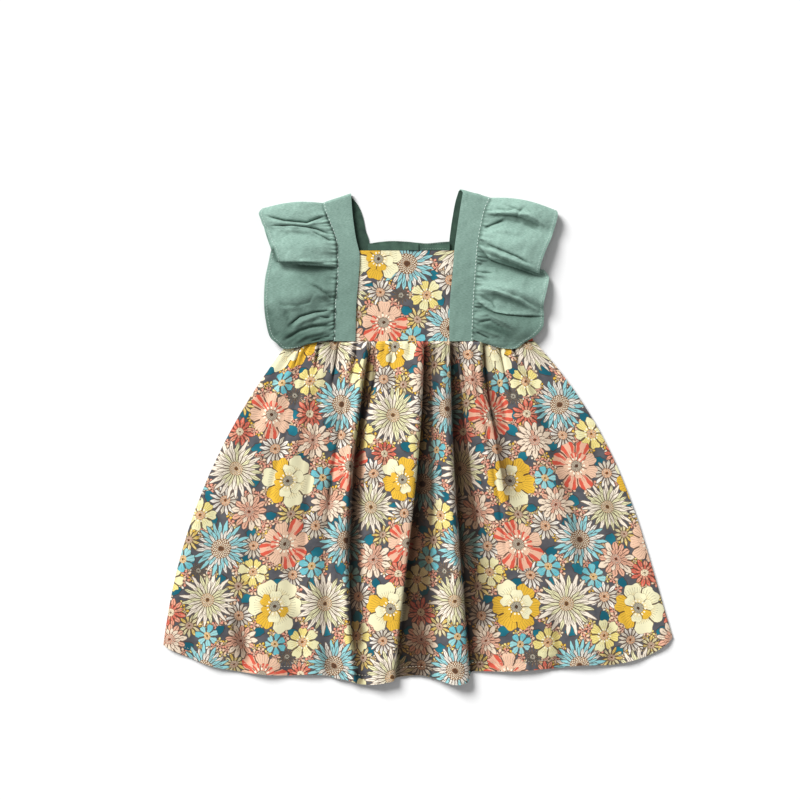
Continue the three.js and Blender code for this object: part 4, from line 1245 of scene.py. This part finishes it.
# The deep shade under the sleeves' main folds: width, strength and the run.
RUFFLE_SHADES = {
    "left": [
        ("wedge under the upper lobe", -11.0, 1.2, (-112, 75), (-98, 73.8), (-60, 71.2)),
        ("under the upper lobe's corner", 2.4, 1.0, (-129, 92), (-126, 82), (-123, 74)),
        ("lower hollow", 5.0, 0.6, (-124, 8), (-104, 3), (-72, 3)),
    ],
    "right": [
        ("under the first edge", -7.0, 0.4, (72, 121), (88, 122), (104, 120.5), (124, 113)),
        ("under the roll", -9.0, 1.1,
         (64, 98), (73.5, 87), (80, 79), (91, 74.8), (101, 72), (114, 67.5), (136, 59.5)),
        ("under the third lobe", -8.0, 1.2,
         (60, 46), (76, 33), (84, 28.5), (94, 26.3), (109, 25.2), (140, 24.5)),
        ("lowest hollow", 4.0, 0.6, (66, 14), (84, 12), (104, 4)),
    ],
}


# Three sets of gathers along the strap's seam: what is added to the seed, spacing, height, reach.
SEAM_GATHERS = [(0, 3.7, 2.6, 6), (2, 6.5, 1.5, 13), (4, 14, 1.6, 34)]

# Painted shade that deepens the sleeves' colour low down, where the cloth falls away from the light:
# strength, the y below which it starts, its fade.
RUFFLE_SHADE_LOW_DOWN = {"left": [(0.43, 74, 16), (0.35, 44, 50)], "right": [(0.25, 44, 20), (0.36, 27, 18)]}


def gathered_sleeve(side):
    """The sleeve with its seam gathers, its creases and its narrow hem."""
    points = ruffle_points(side)
    seam_edge = points[:, 0 if side == "right" else -1]
    run = distances(np.linalg.norm(np.diff(seam_edge, axis=0), axis=1))[:, None]
    out = np.linspace(0, 1, points.shape[1])[None, :]
    if side == "left":
        out = out[:, ::-1]
    away = out * SLEEVE_WIDTH
    fold = STRAP_EDGES[side]["outer"][0][-1][0]
    front = smooth((fold - 2 - run) / 8)
    rise = smooth(away / 2.5)
    seed = 51 if side == "left" else 61
    gathers = sum(waist_gathers(run[:, 0], away, seed + later, spacing, height, reach, run)
                  for later, spacing, height, reach in SEAM_GATHERS)
    waves = soft_waves(points, seed + 1, height=0.3, lengths=(9, 26))
    waves += soft_waves(points, seed + 3, height=0.1, lengths=(3, 7))
    creases = press_creases(points, RUFFLE_CREASES[side])
    hem = 0.35 * smooth((out - 0.955) / 0.01)
    lift = (gathers * front + waves + creases * front) * rise + hem
    lowest = np.where(points[..., 1] < 4, SLEEVE_ON_SKIRT, SLEEVE_ON_BODICE)
    lowest = BACK_Z + (lowest - BACK_Z) * front * smooth(away / 6)
    points[..., 2] = np.maximum(points[..., 2] + lift, lowest)
    return points


for side in ("left", "right"):
    points = gathered_sleeve(side)
    hem_column = -3 if side == "right" else 2
    hem_path = above_cloth(points, 0.35)[2:-2, hem_column]
    stitches(f"{side}_ruffle_hem", hem_path, sage_thread,
             pitch=2.8, length=1.9, radius=0.16)
    from_seam = np.linspace(0, 1, points.shape[1])[:: -1 if side == "left" else 1]
    # Painted shade on the sleeves: deeper low down, in the fold hollows, along the gathered seam and under
    # the main folds.
    lower = sum(strength * smooth((start - points[..., 1]) / fade)
                for strength, start, fade in RUFFLE_SHADE_LOW_DOWN[side])
    folds = 0.75 * hollows(points, columns=4, rows=4, depth=1.3)
    shade = np.maximum(folds, 0.9 * smooth((0.07 - from_seam) / 0.05))
    shade = np.maximum(shade, press_creases(points, RUFFLE_SHADES[side]))
    shade = np.minimum(np.maximum(shade, shade * 0.6 + lower), 1.2)
    ruffle = shell(f"{side}_ruffle", points, strip_places(points), [sage_cotton], shade=shade)
    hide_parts(f"ruffle_{side}")


# Surface, light and camera: a plain pale floor, a soft sun from the upper left with an even white
# light all round, and the camera straight above, at the photograph's framing.
def floor_material():
    material = bpy.data.materials.new("pale_floor")
    material.use_nodes = True
    surface = material.node_tree.nodes["Principled BSDF"]
    surface.inputs["Base Color"].default_value = (0.93, 0.93, 0.93, 1)
    surface.inputs["Roughness"].default_value = 0.9
    return material


FRAME_WIDTH = 0.768
LENS, SENSOR = 85, 36
CAMERA_PLACE = (-0.0172, 0.035)
FLOOR_REACH = 40.0
SUN_DIRECTION, SUN_SIZE = (0.85, -0.95, -0.9), 28
SUN_STRENGTH, SKY_STRENGTH = 4.4, 0.32

floor_mesh = bpy.data.meshes.new("floor")
floor_corners = [(x * FLOOR_REACH, y * FLOOR_REACH, 0) for x, y in ((-1, -1), (1, -1), (1, 1), (-1, 1))]
floor_mesh.from_pydata(floor_corners, [], [(0, 1, 2, 3)])
floor_mesh.materials.append(floor_material())
in_scene("floor", floor_mesh)

sun = bpy.data.lights.new("key", "SUN")
sun.energy = SUN_STRENGTH
sun.angle = math.radians(SUN_SIZE)
in_scene("key", sun).rotation_euler = Vector(SUN_DIRECTION).to_track_quat("-Z", "Y").to_euler()
world = bpy.data.worlds.new("studio")
world.use_nodes = True
sky = world.node_tree.nodes["Background"]
sky.inputs["Color"].default_value = (1, 1, 1, 1)
sky.inputs["Strength"].default_value = SKY_STRENGTH
bpy.context.scene.world = world
bpy.context.scene.view_settings.view_transform = "Standard"

camera = bpy.data.cameras.new("camera")
camera.lens = LENS
camera.sensor_width = SENSOR
camera.clip_start = 0.05
camera.clip_end = 20
camera_object = in_scene("camera", camera)
camera_object.location = (*CAMERA_PLACE, FRAME_WIDTH * LENS / SENSOR)
bpy.context.scene.camera = camera_object
